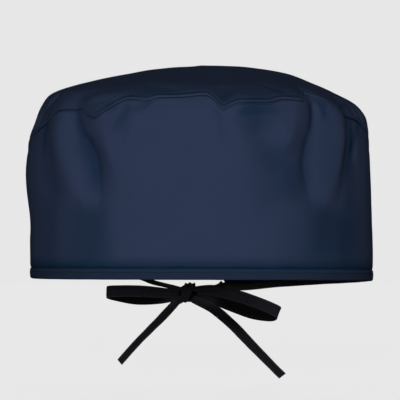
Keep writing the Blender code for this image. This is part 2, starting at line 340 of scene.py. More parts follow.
class CapForm:
    """The cap's smooth outer form, its edges and its folds."""

    SECTIONS = tuple(starmap(Section, (
        (-0.0120, 0.0894, 0.0904, 0.0960, 0.1000, 2.2),
        (0.0000, 0.0900, 0.0902, 0.0970, 0.1020, 2.2),
        (0.0280, 0.0904, 0.0899, 0.0984, 0.1050, 2.2),
        (0.0540, 0.0925, 0.0890, 0.0986, 0.1050, 2.2),
        (0.0720, 0.0910, 0.0882, 0.0974, 0.0990, 2.2),
        (0.0840, 0.0875, 0.0868, 0.0952, 0.0910, 2.2),
        (0.0910, 0.0848, 0.0824, 0.0920, 0.0840, 2.2),
        (0.0976, 0.0798, 0.0718, 0.0820, 0.0750, 2.15),
        (0.1039, 0.0618, 0.0578, 0.0600, 0.0600, 2.1),
        (0.1088, 0.0400, 0.0456, 0.0400, 0.0430, 2.0),
        (0.1124, 0.0180, 0.0240, 0.0200, 0.0230, 2.0),
        (0.1140, 0.0000, 0.0000, 0.0000, 0.0000, 2.0),
    )))
    LEFT_EDGE = -158.7
    RIGHT_EDGE = 172.5
    # The lower edge of the hem, which hangs lower at the back on the right.
    HEM = tuple(starmap(Edge, (
        (LEFT_EDGE, 0.0012), (-120.0, 0.0022), (-90.0, 0.0016), (-45.0, 0.0008),
        (0.0, 0.0005), (90.0, 0.0000), (130.0, -0.0014), (154.0, -0.0034),
        (168.0, -0.0054), (RIGHT_EDGE, -0.0046),
    )))
    # The seam between the side panel and the crown, with its dips where the cloth is pleated.
    SEAM = tuple(starmap(Edge, (
        (LEFT_EDGE, 0.0300), (-140.0, 0.0400), (-120.0, 0.0520), (-90.0, 0.0690),
        (-75.0, 0.0770), (-61.5, 0.0830), (-52.5, 0.0882), (-43.8, 0.0897),
        (-37.5, 0.0842), (-35.0, 0.0831), (-29.0, 0.0881), (-26.5, 0.0910),
        (-23.0, 0.0934), (-18.0, 0.0924), (-13.5, 0.0943), (-5.5, 0.0947),
        (1.0, 0.0962), (3.4, 0.0935), (6.6, 0.0867), (8.6, 0.0884),
        (12.0, 0.0904), (20.5, 0.0906), (27.0, 0.0935), (34.0, 0.0936),
        (37.5, 0.0985), (40.5, 0.1022), (43.5, 0.0985), (46.5, 0.0918),
        (53.0, 0.0862), (63.5, 0.0842), (75.0, 0.0782), (90.0, 0.0700),
        (120.0, 0.0540), (150.0, 0.0380), (RIGHT_EDGE, 0.0300),
    )))
    LEFT_CORNER = tuple(starmap(CornerRow, (
        (0.030, 24.0, 0.0000, 30.0, 0.0000, 35.0, 0.0000, 48.0, 0.0000),
        (0.038, 25.0, -0.0001, 31.5, 0.0008, 37.5, -0.0006, 49.5, 0.0004),
        (0.046, 24.5, -0.0002, 32.0, 0.0030, 40.5, -0.0012, 50.5, 0.0009),
        (0.054, 25.4, -0.0004, 32.7, 0.0046, 43.0, -0.0015, 53.0, 0.0014),
        (0.062, 27.2, -0.0006, 34.0, 0.0056, 45.5, -0.0016, 56.0, 0.0018),
        (0.069, 29.0, -0.0006, 37.0, 0.0060, 47.5, -0.0015, 58.5, 0.0020),
        (0.076, 30.2, -0.0005, 41.0, 0.0056, 49.5, -0.0012, 60.5, 0.0019),
        (0.083, 31.6, -0.0003, 43.6, 0.0046, 51.0, -0.0006, 62.0, 0.0015),
        (0.089, 33.5, -0.0001, 44.8, 0.0034, 52.5, -0.0002, 63.5, 0.0009),
        (0.104, 36.0, 0.0000, 46.0, 0.0000, 53.0, 0.0000, 64.0, 0.0000),
    )))
    RIGHT_CORNER = tuple(starmap(CornerRow, (
        (0.032, 26.0, 0.0000, 33.5, 0.0000, 38.0, 0.0000, 43.0, 0.0000),
        (0.040, 26.5, -0.0002, 34.0, 0.0012, 40.5, -0.0006, 46.6, 0.0008),
        (0.048, 25.5, -0.0003, 33.6, 0.0028, 42.6, -0.0009, 49.4, 0.0017),
        (0.056, 24.2, -0.0004, 33.0, 0.0044, 44.8, -0.0010, 51.6, 0.0022),
        (0.064, 25.0, -0.0005, 33.8, 0.0052, 46.6, -0.0010, 53.6, 0.0025),
        (0.073, 27.5, -0.0005, 36.0, 0.0052, 48.2, -0.0010, 55.6, 0.0026),
        (0.082, 29.0, -0.0004, 38.0, 0.0048, 48.6, -0.0008, 56.6, 0.0023),
        (0.090, 30.5, -0.0002, 39.0, 0.0040, 47.0, -0.0006, 57.4, 0.0016),
        (0.098, 32.5, 0.0000, 40.8, 0.0022, 46.0, 0.0000, 58.0, 0.0007),
        (0.108, 35.0, 0.0000, 42.0, 0.0000, 47.0, 0.0000, 59.0, 0.0000),
    )))
    # How far before the brink a corner's fold starts, and how far behind the valley it ends.
    CORNER_LEAD = 9.0
    CORNER_TRAIL = 24.0
    # How sharply the cloth bends at the brink, in the crease and in the valley.
    LEFT_BENDS = {1: 0.5, 2: 0.8, 4: 0.15}
    RIGHT_BENDS = {1: 0.6, 2: 0.9, 4: 0.5}
    CREASES = tuple(starmap(Crease, (
        (6.3, 0.092, 7.0, 0.080, 8.0, 0.066, 0.006, 0.006, 0.0012),
        (14.5, 0.086, 21.0, 0.069, 28.0, 0.052, 0.010, 0.015, 0.0030),
        (13.0, 0.060, 19.5, 0.048, 24.0, 0.034, 0.016, 0.016, 0.0009),
        (24.0, 0.083, 26.0, 0.074, 27.0, 0.064, 0.008, 0.006, -0.0006),
        (-22.6, 0.090, -24.0, 0.080, -25.5, 0.066, 0.0060, 0.0040, 0.0010),
        (-14.8, 0.095, -17.0, 0.0905, -20.5, 0.085, 0.0030, 0.0045, 0.0009),
        (-29.0, 0.045, -37.0, 0.034, -50.0, 0.027, 0.011, 0.011, 0.0009),
        (33.0, 0.041, 40.0, 0.032, 52.0, 0.026, 0.011, 0.011, 0.0008),
        (61.5, 0.081, 60.0, 0.070, 57.5, 0.058, 0.0055, 0.0050, 0.0008),
        (41.4, 0.0990, 40.9, 0.0905, 41.2, 0.0825, 0.0022, 0.0022, -0.0006),
        (-150.0, 0.012, -132.0, 0.026, -108.0, 0.036, 0.009, 0.009, 0.0016),
        (-152.0, 0.020, -140.0, 0.030, -124.0, 0.044, 0.006, 0.006, 0.0012),
        (-146.0, 0.008, -124.0, 0.013, -96.0, 0.016, 0.007, 0.007, 0.0011),
        (166.0, 0.010, 148.0, 0.024, 122.0, 0.040, 0.009, 0.009, 0.0016),
        (168.0, 0.018, 158.0, 0.029, 143.0, 0.040, 0.006, 0.006, 0.0012),
        (160.0, 0.005, 136.0, 0.012, 104.0, 0.018, 0.007, 0.007, 0.0011),
        (94.0, 0.062, 88.0, 0.046, 86.0, 0.024, 0.010, 0.012, 0.0012),
        (-92.0, 0.060, -86.0, 0.042, -85.0, 0.022, 0.012, 0.010, 0.0012),
        (-43.0, 0.0925, -32.5, 0.0957, -22.5, 0.0985, 0.0065, 0.0050, -0.0009),
        (6.6, 0.089, 7.2, 0.097, 8.0, 0.107, 0.0060, 0.0060, 0.0011),
        (22.5, 0.1130, 27.0, 0.1025, 33.5, 0.0950, 0.0040, 0.0060, 0.0005),
        (-23.0, 0.1120, -14.0, 0.1030, -4.0, 0.0985, 0.0060, 0.0080, 0.0007),
        (50.0, 0.0925, 56.0, 0.0955, 64.0, 0.1010, 0.0040, 0.0050, 0.0012),
        (-75.0, 0.083, -66.0, 0.0930, -60.0, 0.1050, 0.0050, 0.0070, 0.0012),
    )))
    # Painted shade in the folds' hollows, where the cloth's tone is darkened. The depth is a share from 0 to
    # 1.
    FOLD_PAINTED_SHADE = tuple(starmap(Crease, (
        (-45.5, 0.0900, -43.0, 0.0800, -38.5, 0.0690, 0.0075, 0.0032, 0.57),
        (-42.0, 0.0760, -35.0, 0.0620, -32.0, 0.0380, 0.0080, 0.0085, 0.63),
        (-62.0, 0.0870, -60.5, 0.0740, -57.0, 0.0600, 0.0055, 0.0065, 0.52),
        (-59.0, 0.0660, -53.5, 0.0520, -45.5, 0.0400, 0.0070, 0.0100, 0.32),
        (-34.0, 0.0440, -32.8, 0.0240, -32.0, 0.0040, 0.0150, 0.0340, 0.48),
        (-22.2, 0.0925, -24.2, 0.0830, -27.0, 0.0720, 0.0044, 0.0044, 0.46),
        (-15.0, 0.0935, -18.8, 0.0890, -22.0, 0.0850, 0.0035, 0.0035, 0.34),
        (38.4, 0.0985, 37.5, 0.0860, 36.2, 0.0700, 0.0038, 0.0052, 0.72),
        (36.5, 0.0770, 33.0, 0.0620, 32.8, 0.0390, 0.0078, 0.0055, 0.57),
        (58.5, 0.0875, 56.4, 0.0690, 48.0, 0.0400, 0.0050, 0.0050, 0.67),
        (68.5, 0.0860, 62.0, 0.0750, 55.0, 0.0630, 0.0045, 0.0045, 0.57),
        (58.0, 0.0660, 54.5, 0.0500, 50.0, 0.0340, 0.0100, 0.0040, 0.29),
        (40.6, 0.0430, 38.2, 0.0250, 37.2, 0.0040, 0.0360, 0.0165, 0.57),
        (12.0, 0.0910, 16.0, 0.0840, 18.5, 0.0720, 0.0200, 0.0150, 0.41),
        (25.0, 0.0740, 27.5, 0.0550, 29.0, 0.0360, 0.0080, 0.0190, 0.41),
        (45.0, 0.1000, 42.0, 0.0700, 37.5, 0.0360, 0.0100, 0.0100, 0.20),
        (30.0, 0.0520, 30.0, 0.0260, 30.0, 0.0010, 0.0100, 0.0200, 0.18),
        (43.5, 0.0965, 42.7, 0.0890, 42.2, 0.0800, 0.0030, 0.0030, 0.46),
        (53.0, 0.0480, 51.0, 0.0260, 51.0, 0.0010, 0.0240, 0.0150, 0.39),
        (-53.0, 0.0480, -53.0, 0.0260, -53.0, 0.0010, 0.0150, 0.0200, 0.25),
        (-31.0, 0.0915, -20.0, 0.0970, -6.0, 0.0990, 0.0040, 0.0040, 0.28),
        (7.0, 0.0890, 7.6, 0.0980, 9.0, 0.1070, 0.0075, 0.0075, 0.36),
        (22.5, 0.1130, 27.0, 0.1025, 33.5, 0.0945, 0.0034, 0.0034, 0.29),
        (-33.0, 0.0905, -29.0, 0.0893, -25.0, 0.0868, 0.0040, 0.0055, 0.32),
        (17.0, 0.0820, 18.5, 0.0560, 20.0, 0.0280, 0.0180, 0.0130, 0.20),
        (51.0, 0.0922, 56.0, 0.0930, 62.0, 0.0945, 0.0040, 0.0035, 0.42),
        (9.0, 0.0845, 17.0, 0.0868, 27.0, 0.0885, 0.0062, 0.0052, 0.27),
        (44.0, 0.0972, 48.0, 0.0898, 56.0, 0.0853, 0.0018, 0.0018, 0.50),
    )))
    # The front corners, as angles away from the middle between them.
    CORNER_MIDDLE = 3.0
    CORNER_START = Step(32.0, 10.0)
    CORNER_END = Step(76.0, 20.0)
    # How finely a crease's line is followed, and the share of it over which each end fades out.
    CREASE_STEPS = 10
    CREASE_FADE = 0.3
    # Directions are taken over this much of the run and of the angle.
    RUN_SPAN = 0.0005
    TURN_SPAN = 0.5
    # Distances around the cap are measured at this run, from points this many degrees apart.
    ARC_RUN = 0.030
    ARC_STEP = 1.0
    # The sides' distance from the middle, by which a wall's thickness is turned into an angle.
    SIDE_RADIUS = 0.095

    def __init__(self) -> None:
        """Work out the run of each section, and how long the cloth is around the cap."""
        columns = np.array(self.SECTIONS)
        reach = columns[:, 1:5].mean(axis=1)
        lengths = np.hypot(np.diff(columns[:, 0]), np.diff(reach))
        self.columns = columns
        self.runs = columns[0, 0] + np.concatenate(((0.0,), np.cumsum(lengths)))
        self.top = float(self.runs[-1])
        self.arc_angles = np.arange(-360.0, 360.0 + self.ARC_STEP, self.ARC_STEP)
        belt = self.surface(self.arc_angles, np.full_like(self.arc_angles, self.ARC_RUN))
        self.arc_lengths = lengths_along(belt)

    def surface(self, angle: Array, run: Array) -> Array:
        """Points on the smooth outer form, one row for each angle and run."""
        height, left, right, front, back, power = (
            curve_values(self.runs, column, run) for column in self.columns.T
        )
        turn = np.radians(angle)
        sideways, forwards = np.sin(turn), np.cos(turn)
        side = np.maximum(np.where(sideways > 0.0, right, left), WELD)
        face = np.maximum(np.where(forwards > 0.0, front, back), WELD)
        total = np.abs(sideways / side) ** power + np.abs(forwards / face) ** power
        reach = np.where(run >= self.top, 0.0, total ** (-1.0 / power))
        return np.stack((reach * sideways, -reach * forwards, height), axis=-1)

    def outward(self, angle: Array, run: Array) -> Array:
        """The directions straight out of the smooth form."""
        inner = np.minimum(run, self.top - 2.0 * self.RUN_SPAN)
        around = self.surface(angle + self.TURN_SPAN, inner) - self.surface(angle - self.TURN_SPAN, inner)
        upward = self.surface(angle, inner + self.RUN_SPAN) - self.surface(angle, inner - self.RUN_SPAN)
        normal = unit(np.cross(around, upward))
        return np.where((run > self.top - self.RUN_SPAN)[..., None], (0.0, 0.0, 1.0), normal)

    def seam_run(self, angle: Array) -> Array:
        """How far up the cloth the seam is."""
        return curve_values(*zip(*self.SEAM), angle)

    def hem_run(self, angle: Array) -> Array:
        """How far up the cloth the lower edge of the hem is."""
        return curve_values(*zip(*self.HEM), angle)

    def fold_depth(self, angle: Array, run: Array) -> Array:
        """How far the folds draw the cloth in from the smooth form."""
        total = self.corner_depth(self.LEFT_CORNER, self.LEFT_BENDS, -angle, run)
        total += self.corner_depth(self.RIGHT_CORNER, self.RIGHT_BENDS, angle, run)
        for crease in self.CREASES:
            total += self.crease_depth(crease, angle, run)
        return total

    def corner_depth(
        self, rows: Sequence[CornerRow], bends: dict[int, float], away: Array, run: Array
    ) -> Array:
        """How far a corner's big fold draws the cloth in, at angles away from the front."""
        table = np.array(rows)
        read = [curve_values(table[:, 0], column, run) for column in table.T[1:]]
        places, depths = read[0::2], read[1::2]
        flat = np.zeros_like(run)
        lead, trail = places[0] - self.CORNER_LEAD, places[-1] + self.CORNER_TRAIL
        places = np.stack((lead, *places, trail), axis=-1)
        return row_curves(places, np.stack((flat, *depths, flat), axis=-1), away, bends)

    def crease_depth(self, crease: Crease, angle: Array, run: Array) -> Array:
        """How far one crease draws the cloth in.

        Args:
            crease: The crease.
            angle: Each point's angle.
            run: Each point's run.

        Returns:
            The depth at each point.
        """
        start, middle, end = (
            np.array((self.around(np.array(crease[index])), crease[index + 1])) for index in (0, 2, 4)
        )
        handle = 2.0 * middle - (start + end) / 2.0
        part = np.linspace(0.0, 1.0, self.CREASE_STEPS + 1)[:, None]
        line = (1.0 - part) ** 2 * start + 2.0 * part * (1.0 - part) * handle + part ** 2 * end
        turn = (min(crease[0:5:2]) + max(crease[0:5:2])) / 2.0
        spot = np.stack((self.around(half_turn(angle - turn) + turn), run), axis=-1)
        reach = max(crease.left_width, crease.right_width)
        total = np.zeros(len(run))
        close = np.all((spot > line.min(axis=0) - reach) & (spot < line.max(axis=0) + reach), axis=1)
        if close.any():
            away, side, share = nearest(line, spot[close])
            width = np.where(side > 0.0, crease.left_width, crease.right_width)
            ends = ease(share / self.CREASE_FADE) * ease((1.0 - share) / self.CREASE_FADE)
            total[close] = crease.depth * ends * hump(away / width)
        return total

    def painted_fold_shade(self, angle: Array, run: Array) -> Array:
        """How much painted shade the cloth has in the folds' hollows, from 0 to 1."""
        return np.clip(sum(self.crease_depth(crease, angle, run) for crease in self.FOLD_PAINTED_SHADE), 0.0, 1.0)

    def cloth(self, angle: Array, run: Array, depth: Array) -> Array:
        """Points in the cloth, at a depth below its folded outer face."""
        inward = self.fold_depth(angle, run) + depth
        return self.surface(angle, run) - self.outward(angle, run) * inward[..., None]

    def front_corner(self, angle: Array) -> Array:
        """How near a point is to a front corner, where the seam's edge lies flat, from 0 to 1."""
        aside = np.abs(angle - self.CORNER_MIDDLE)
        return self.CORNER_START.at(aside) * (1.0 - self.CORNER_END.at(aside))

    def past_edge(self, column: Array, past: Array, half: Array | float) -> Array:
        """The angle of a rounded edge, which is past its column by a share of half the wall."""
        return column + np.degrees(past * half / self.SIDE_RADIUS)

    def around(self, angle: Array) -> Array:
        """How far around the cloth an angle is from the front centre, in metres."""
        front = np.interp(0.0, self.arc_angles, self.arc_lengths)
        return np.interp(angle, self.arc_angles, self.arc_lengths) - front


class Lines(NamedTuple):
    """The grid lines of a wall in one direction.

    places are where the lines are, from one edge to the other. past says how far outside its edge
    a line lies, and full how much of the wall's thickness it has, both as shares of half of it.
    """

    places: Array
    past: Array
    full: Array

    @classmethod
    def between(
        cls, places: Array, first_round: bool = True, last_round: bool = True, turns: int = 3
    ) -> "Lines":
        """Lines at the given places, with a half-round edge where it is wanted."""
        bend = np.radians(np.linspace(90.0, 0.0, turns + 1)[:-1])
        past, full, where = [np.zeros(len(places))], [np.ones(len(places))], [np.asarray(places, float)]
        if first_round:
            past.insert(0, -np.sin(bend))
            full.insert(0, np.cos(bend))
            where.insert(0, np.full(turns, places[0]))
        if last_round:
            past.append(np.sin(bend[::-1]))
            full.append(np.cos(bend[::-1]))
            where.append(np.full(turns, places[-1]))
        return cls(np.concatenate(where), np.concatenate(past), np.concatenate(full))


class Grid(NamedTuple):
    """What a wall's shape is worked out from, one array entry for each vertex of one face.

    lift is +1 on the outer face, -1 on the inner face and 0 on a rounded edge.
    """

    column: Array
    row: Array
    past_column: Array
    past_row: Array
    lift: Array


class Placed(NamedTuple):
    """Where a wall's vertices go, and what its finish reads there.

    flat is the place on the cloth, and edge the distance from an edge, along which the cloth is paler:
    wear, and along the seam a painted highlight. shade is how much painted shade the cloth has, from
    none at 0 to its darkest at 1.
    """

    points: Array
    flat: Array
    edge: Array
    shade: Array


Placer = Callable[[Grid], Placed]


class Zones(NamedTuple):
    """How a wall's rows are shared out: close together near its foot and top, wider between."""

    foot: float
    foot_rows: int
    middle_rows: int
    top: float
    top_rows: int

    def places(self) -> Array:
        """The rows' places: 0 to 1 in the foot, 1 to 2 in the middle and 2 to 3 in the top."""
        foot = np.linspace(0.0, 1.0, self.foot_rows, endpoint=False)
        middle = np.linspace(1.0, 2.0, self.middle_rows, endpoint=False)
        return np.concatenate((foot, middle, np.linspace(2.0, 3.0, self.top_rows)))

    def run(self, row: Array, low: Array, high: Array) -> Array:
        """The run of each row of a wall that reaches from low to high."""
        foot_end, top_start = low + self.foot, high - self.top
        middle = foot_end + (top_start - foot_end) * (row - 1.0)
        foot = low + self.foot * row
        return np.where(row < 1.0, foot, np.where(row < 2.0, middle, high - self.top * (3.0 - row)))


def spaced_angles(first: float, last: float, step: float, fine_step: float) -> Array:
    """Angles from first to last, a fine step apart at the front corners and a step apart elsewhere."""
    corner, reach, blend, samples = 42.0, 30.0, 0.4, 2000
    sample = np.linspace(first, last, samples)
    near = ease((reach - np.abs(np.abs(sample) - corner)) / (reach * blend))
    density = 1.0 / step + (1.0 / fine_step - 1.0 / step) * near
    total = np.concatenate(((0.0,), np.cumsum((density[1:] + density[:-1]) / 2.0 * np.diff(sample))))
    return np.interp(np.linspace(0.0, total[-1], round(total[-1]) + 1), total, sample)


def put(name: str, data: bpy.types.ID) -> Piece:
    """Put something in the scene as an object."""
    made = bpy.data.objects.new(name, data)
    bpy.context.scene.collection.objects.link(made)
    return made


def put_shape(name: str, shape: Shape, material: Material) -> Piece:
    """Put a finished bmesh in the scene as a smooth-shaded object, and free it."""
    mesh = bpy.data.meshes.new(name)
    shape.to_mesh(mesh)
    shape.free()
    mesh.materials.append(material)
    mesh.shade_smooth()
    return put(name, mesh)


def declare(piece: Piece, slot: str, *nodes: str) -> None:
    """Put a piece on the body that it rides on, and hide the nodes that it stands for."""
    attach(piece, BODY)
    if nodes:
        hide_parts(*nodes)


def wall_face(shape: Shape, columns: Lines, rows: Lines, side: float) -> Grid:
    """Add one face of a wall as a flat grid, which turns the faces before it over.

    Args:
        shape: What the grid is added to.
        columns: The grid lines that go up the wall.
        rows: The grid lines that go along it.
        side: +1 for the outer face and -1 for the inner one.

    Returns:
        What the places of the grid's vertices are worked out from.
    """
    bmesh.ops.reverse_faces(shape, faces=shape.faces)
    last_column, last_row = len(columns.places) - 1, len(rows.places) - 1
    made = bmesh.ops.create_grid(shape, x_segments=last_column, y_segments=last_row, size=0.5)
    spots = np.array([vertex.co[:2] for vertex in made["verts"]]) + 0.5
    column = np.rint(spots[:, 0] * last_column).astype(int)
    row = np.rint(spots[:, 1] * last_row).astype(int)
    lift = side * columns.full[column] * rows.full[row]
    return Grid(columns.places[column], rows.places[row], columns.past[column], rows.past[row], lift)


def closed_wall(name: str, columns: Lines, rows: Lines, place: Placer, material: Material) -> Piece:
    """Make a wall of two grids that meet along rounded edges.

    Args:
        name: The new object's name.
        columns: The grid lines that go up the wall.
        rows: The grid lines that go along it.
        place: Gives each vertex of a whole face its place.
        material: The finish.

    Returns:
        The object, whose UV map "cloth" and attribute "edge" are in metres. Its attribute "shade"
        goes from 0 to 1.
    """
    shape = bmesh.new()
    faces = [place(wall_face(shape, columns, rows, side)) for side in (-1.0, 1.0)]
    points, flats, edges, shades = (np.concatenate(parts) for parts in zip(*faces))
    shape.verts.index_update()
    for vertex, point in zip(shape.verts, points):
        vertex.co = point
    for label, values in (("edge", edges), ("shade", shades)):
        layer = shape.verts.layers.float.new(label)
        for vertex, value in zip(shape.verts, values):
            vertex[layer] = value
    cloth = shape.loops.layers.uv.new("cloth")
    for face in shape.faces:
        for loop in face.loops:
            loop[cloth].uv = flats[loop.vert.index]
    bmesh.ops.remove_doubles(shape, verts=shape.verts, dist=WELD)
    # A corner's own vertex joins only two edges, and leaves a flap with no thickness.
    corners = [vertex for vertex in shape.verts if len(vertex.link_edges) == 2]
    bmesh.ops.dissolve_verts(shape, verts=corners)
    if shape.calc_volume(signed=True) < 0.0:
        bmesh.ops.reverse_faces(shape, faces=shape.faces)
    return put_shape(name, shape, material)


class Yarn(Enum):
    """How far apart the threads of each cloth lie, in metres."""

    SHEETING = 0.00042
    TAPE = 0.00050


@dataclass
class Tree:
    """A node tree that is being built."""

    tree: NodeTree

    @classmethod
    def of(cls, owner: Material | bpy.types.World) -> "Tree":
        """The tree of a new material or world."""
        owner.use_nodes = True
        return cls(owner.node_tree)

    def node(self, kind: str, **settings: object) -> Node:
        """Add a node and set its plain settings."""
        made = self.tree.nodes.new(kind)
        for name, value in settings.items():
            setattr(made, name, value)
        return made

    def feed(self, socket: Socket, value: object) -> None:
        """Set a socket to a value, or link it to another socket."""
        if isinstance(value, Socket):
            self.tree.links.new(value, socket)
        else:
            socket.default_value = value

    def fill(self, node: Node, values: dict[str | int, object]) -> Sockets:
        """Feed a node's inputs, by name or by number, and give its outputs."""
        for name, value in values.items():
            self.feed(node.inputs[name], value)
        return node.outputs

    def maths(self, operation: str, *values: object) -> Socket:
        """A Math node's result."""
        return self.fill(self.node("ShaderNodeMath", operation=operation), dict(enumerate(values)))[0]

    def vector(self, operation: str, *values: object) -> Socket:
        """A Vector Math node's result."""
        made = self.node("ShaderNodeVectorMath", operation=operation)
        sockets = [socket for socket in made.inputs if socket.enabled]
        for socket, value in zip(sockets, values):
            self.feed(socket, value)
        return made.outputs[0]

    def mix(self, share: object, first: object, second: object) -> Socket:
        """The colour at a share of the way from the first colour to the second."""
        made = self.node("ShaderNodeMix", data_type="RGBA", clamp_factor=True)
        return self.fill(made, {0: share, 6: first, 7: second})[2]

    def noise(self, place: object, scale: object, detail: float = 2.0) -> Socket:
        """A noise, from 0 to 1 around 0.5."""
        made = self.node("ShaderNodeTexNoise")
        return self.fill(made, {"Vector": place, "Scale": scale, "Detail": detail})[0]

    def attribute(self, name: str) -> Socket:
        """The value of one of the mesh's attributes."""
        return self.node("ShaderNodeAttribute", attribute_name=name).outputs["Fac"]

    def fill_own(self, name: str, values: dict[str, object]) -> None:
        """Feed the node of this name that a new tree already has."""
        self.fill(self.tree.nodes[name], values)

    def call(self, group: NodeTree, values: dict[str, object]) -> Sockets:
        """A node group's outputs for the given inputs."""
        return self.fill(self.node("ShaderNodeGroup", node_tree=group), values)

    def in_pitches(self, place: object, pitch: object) -> tuple[Socket, Sockets]:
        """A place measured in pitches, whole and as its three coordinates."""
        scaled = self.vector("SCALE", place, self.maths("DIVIDE", 1.0, pitch))
        return scaled, self.fill(self.node("ShaderNodeSeparateXYZ"), {0: scaled})


def group(name: str, inputs: dict[str, str], outputs: Sequence[str]) -> tuple[Tree, Sockets, Node]:
    """Start a shader node group.

    Args:
        name: The group's name.
        inputs: Each input's name and socket kind, Float or Vector.
        outputs: The outputs' names, all Float.

    Returns:
        The group's tree, what its inputs give, and the node that takes its results.
    """
    made = bpy.data.node_groups.new(name, "ShaderNodeTree")
    for label, kind in inputs.items():
        made.interface.new_socket(label, in_out="INPUT", socket_type=f"NodeSocket{kind}")
    for label in outputs:
        made.interface.new_socket(label, in_out="OUTPUT", socket_type="NodeSocketFloat")
    tree = Tree(made)
    return tree, tree.node("NodeGroupInput").outputs, tree.node("NodeGroupOutput")


@cache
def weave_group() -> NodeTree:
    """Plain weave: the crowns of the threads, and the thick and thin places along them."""
    crown_shape, slub_scale = 0.6, 0.9
    along_warp, along_weft = (1.0, 0.03, 0.0), (0.025, 1.0, 0.0)
    tree, given, result = group("plain_weave", {"Place": "Vector", "Pitch": "Float"}, ("Crown", "Slub"))
    scaled, parts = tree.in_pitches(given["Place"], given["Pitch"])
    waves = [tree.maths("SINE", tree.maths("MULTIPLY", parts[axis], math.pi)) for axis in (0, 1)]
    crossing = tree.maths("ABSOLUTE", tree.maths("MULTIPLY", *waves))
    slubs = [tree.noise(tree.vector("MULTIPLY", scaled, way), slub_scale) for way in (along_warp, along_weft)]
    tree.fill(result, {
        "Crown": tree.maths("POWER", crossing, crown_shape),
        "Slub": tree.maths("MULTIPLY", tree.maths("ADD", *slubs), 0.5),
    })
    return tree.tree


@cache
def wear_and_highlight_group() -> NodeTree:
    """Uneven dye, wear and a painted highlight: a soft mottle all over, and a broken paler line along the
    edges, which stands for wear and, along the seam, for a painted highlight.
    """
    fineness, strength = 9.0, 1.6
    inputs = {"Place": "Vector", "Patch": "Float", "Edge": "Float", "Reach": "Float"}
    tree, given, result = group("dye_wear_and_highlight", inputs, ("Mottle", "WearAndHighlight"))
    scale = tree.maths("DIVIDE", 1.0, given["Patch"])
    near = tree.maths("SUBTRACT", 1.0, tree.maths("DIVIDE", given["Edge"], given["Reach"]))
    broken = tree.noise(given["Place"], tree.maths("MULTIPLY", scale, fineness), 4.0)
    line = tree.maths("MULTIPLY", tree.maths("MAXIMUM", near, 0.0), broken)
    tree.fill(result, {
        "Mottle": tree.noise(given["Place"], scale, 3.0),
        "WearAndHighlight": tree.maths("MINIMUM", tree.maths("MULTIPLY", line, strength), 1.0),
    })
    return tree.tree


@cache
def twist_group() -> NodeTree:
    """The plies of a sewing thread, which show as slanting lines."""
    tree, given, result = group("thread_twist", {"Place": "Vector", "Pitch": "Float"}, ("Ply",))
    _, parts = tree.in_pitches(given["Place"], given["Pitch"])
    slant = tree.maths("ADD", parts[0], tree.maths("ADD", parts[1], parts[2]))
    wave = tree.maths("SINE", tree.maths("MULTIPLY", slant, math.pi))
    tree.fill(result, {"Ply": tree.maths("ABSOLUTE", wave)})
    return tree.tree


@dataclass(frozen=True)
class Finish:
    """A finish in two tones: deep in the hollows, and pale where it is raised, and along edges for wear and a
    painted highlight.
    """

    name: str
    deep: Triple
    pale: Triple
    roughness: float = 0.75
    specular: float = 0.2
    relief: float = 0.00005
    strength: float = 0.5

    def start(self) -> tuple[Material, Tree]:
        """A new material and its tree."""
        made = bpy.data.materials.new(self.name)
        return made, Tree.of(made)

    def tone(self, tree: Tree, share: Socket) -> Socket:
        """The colour between the two tones."""
        return tree.mix(share, (*self.deep, 1.0), (*self.pale, 1.0))

    def apply(self, tree: Tree, colour: Socket, rough: Socket, height: Socket) -> None:
        """Give the shader its colour and roughness, and raise the surface by a height from 0 to 1."""
        bump = {"Strength": self.strength, "Distance": self.relief, "Height": height}
        tree.fill_own("Principled BSDF", {
            "Base Color": colour,
            "Roughness": rough,
            "Specular IOR Level": self.specular,
            "Normal": tree.fill(tree.node("ShaderNodeBump"), bump)[0],
        })


@dataclass(frozen=True)
class Woven(Finish):
    """Matt woven cotton, which reads the piece's UV map "cloth", and its "edge" and "shade".

    patch is the size of the dye's mottle, and reach how far the paler edge goes in from an edge: it
    stands for wear, and along the seam for a painted highlight. The pale values say how much each part
    of the look adds to the cloth's paleness. mean_pale is taken off, for what the mottle adds on
    average. The third tone is painted shade: the "shade" attribute darkens the colour towards it.
    """

    painted_shade_tone: Triple = (0.0, 0.0, 0.0)
    yarn: Yarn = Yarn.SHEETING
    patch: float = 0.022
    reach: float = 0.0016
    base_pale: float = 0.04
    crown_pale: float = 0.22
    slub_pale: float = 0.55
    mottle_pale: float = 0.45
    mean_pale: float = 0.22
    wear_and_highlight_pale: float = 0.8
    groove_rough: float = 0.05
    crown_rough: float = -0.10
    mottle_rough: float = 0.08
    slub_height: float = 1.2

    @cache
    def material(self) -> Material:
        """The finish as a material, made once."""
        made, tree = self.start()
        place = tree.node("ShaderNodeUVMap", uv_map="cloth").outputs[0]
        weave = tree.call(weave_group(), {"Place": place, "Pitch": self.yarn.value})
        given = {"Place": place, "Patch": self.patch, "Edge": tree.attribute("edge"), "Reach": self.reach}
        dye_wear_highlight = tree.call(wear_and_highlight_group(), given)
        share = tree.maths("MULTIPLY_ADD", weave["Crown"], self.crown_pale, self.base_pale)
        share = tree.maths("MULTIPLY_ADD", weave["Slub"], self.slub_pale, share)
        share = tree.maths("MULTIPLY_ADD", dye_wear_highlight["Mottle"], self.mottle_pale, share)
        share = tree.maths("SUBTRACT", share, self.mean_pale)
        # Paler along edges: wear, and along the seam a painted highlight.
        share = tree.maths("MULTIPLY_ADD", dye_wear_highlight["WearAndHighlight"], self.wear_and_highlight_pale, share)
        # Painted shade: the "shade" attribute darkens the colour towards the painted shade tone.
        colour = tree.mix(tree.attribute("shade"), self.tone(tree, share), (*self.painted_shade_tone, 1.0))
        grooves = self.roughness + self.groove_rough
        rough = tree.maths("MULTIPLY_ADD", weave["Crown"], self.crown_rough, grooves)
        rough = tree.maths("MULTIPLY_ADD", dye_wear_highlight["Mottle"], self.mottle_rough, rough)
        height = tree.maths("MULTIPLY_ADD", weave["Slub"], self.slub_height, weave["Crown"])
        self.apply(tree, colour, rough, height)
        return made


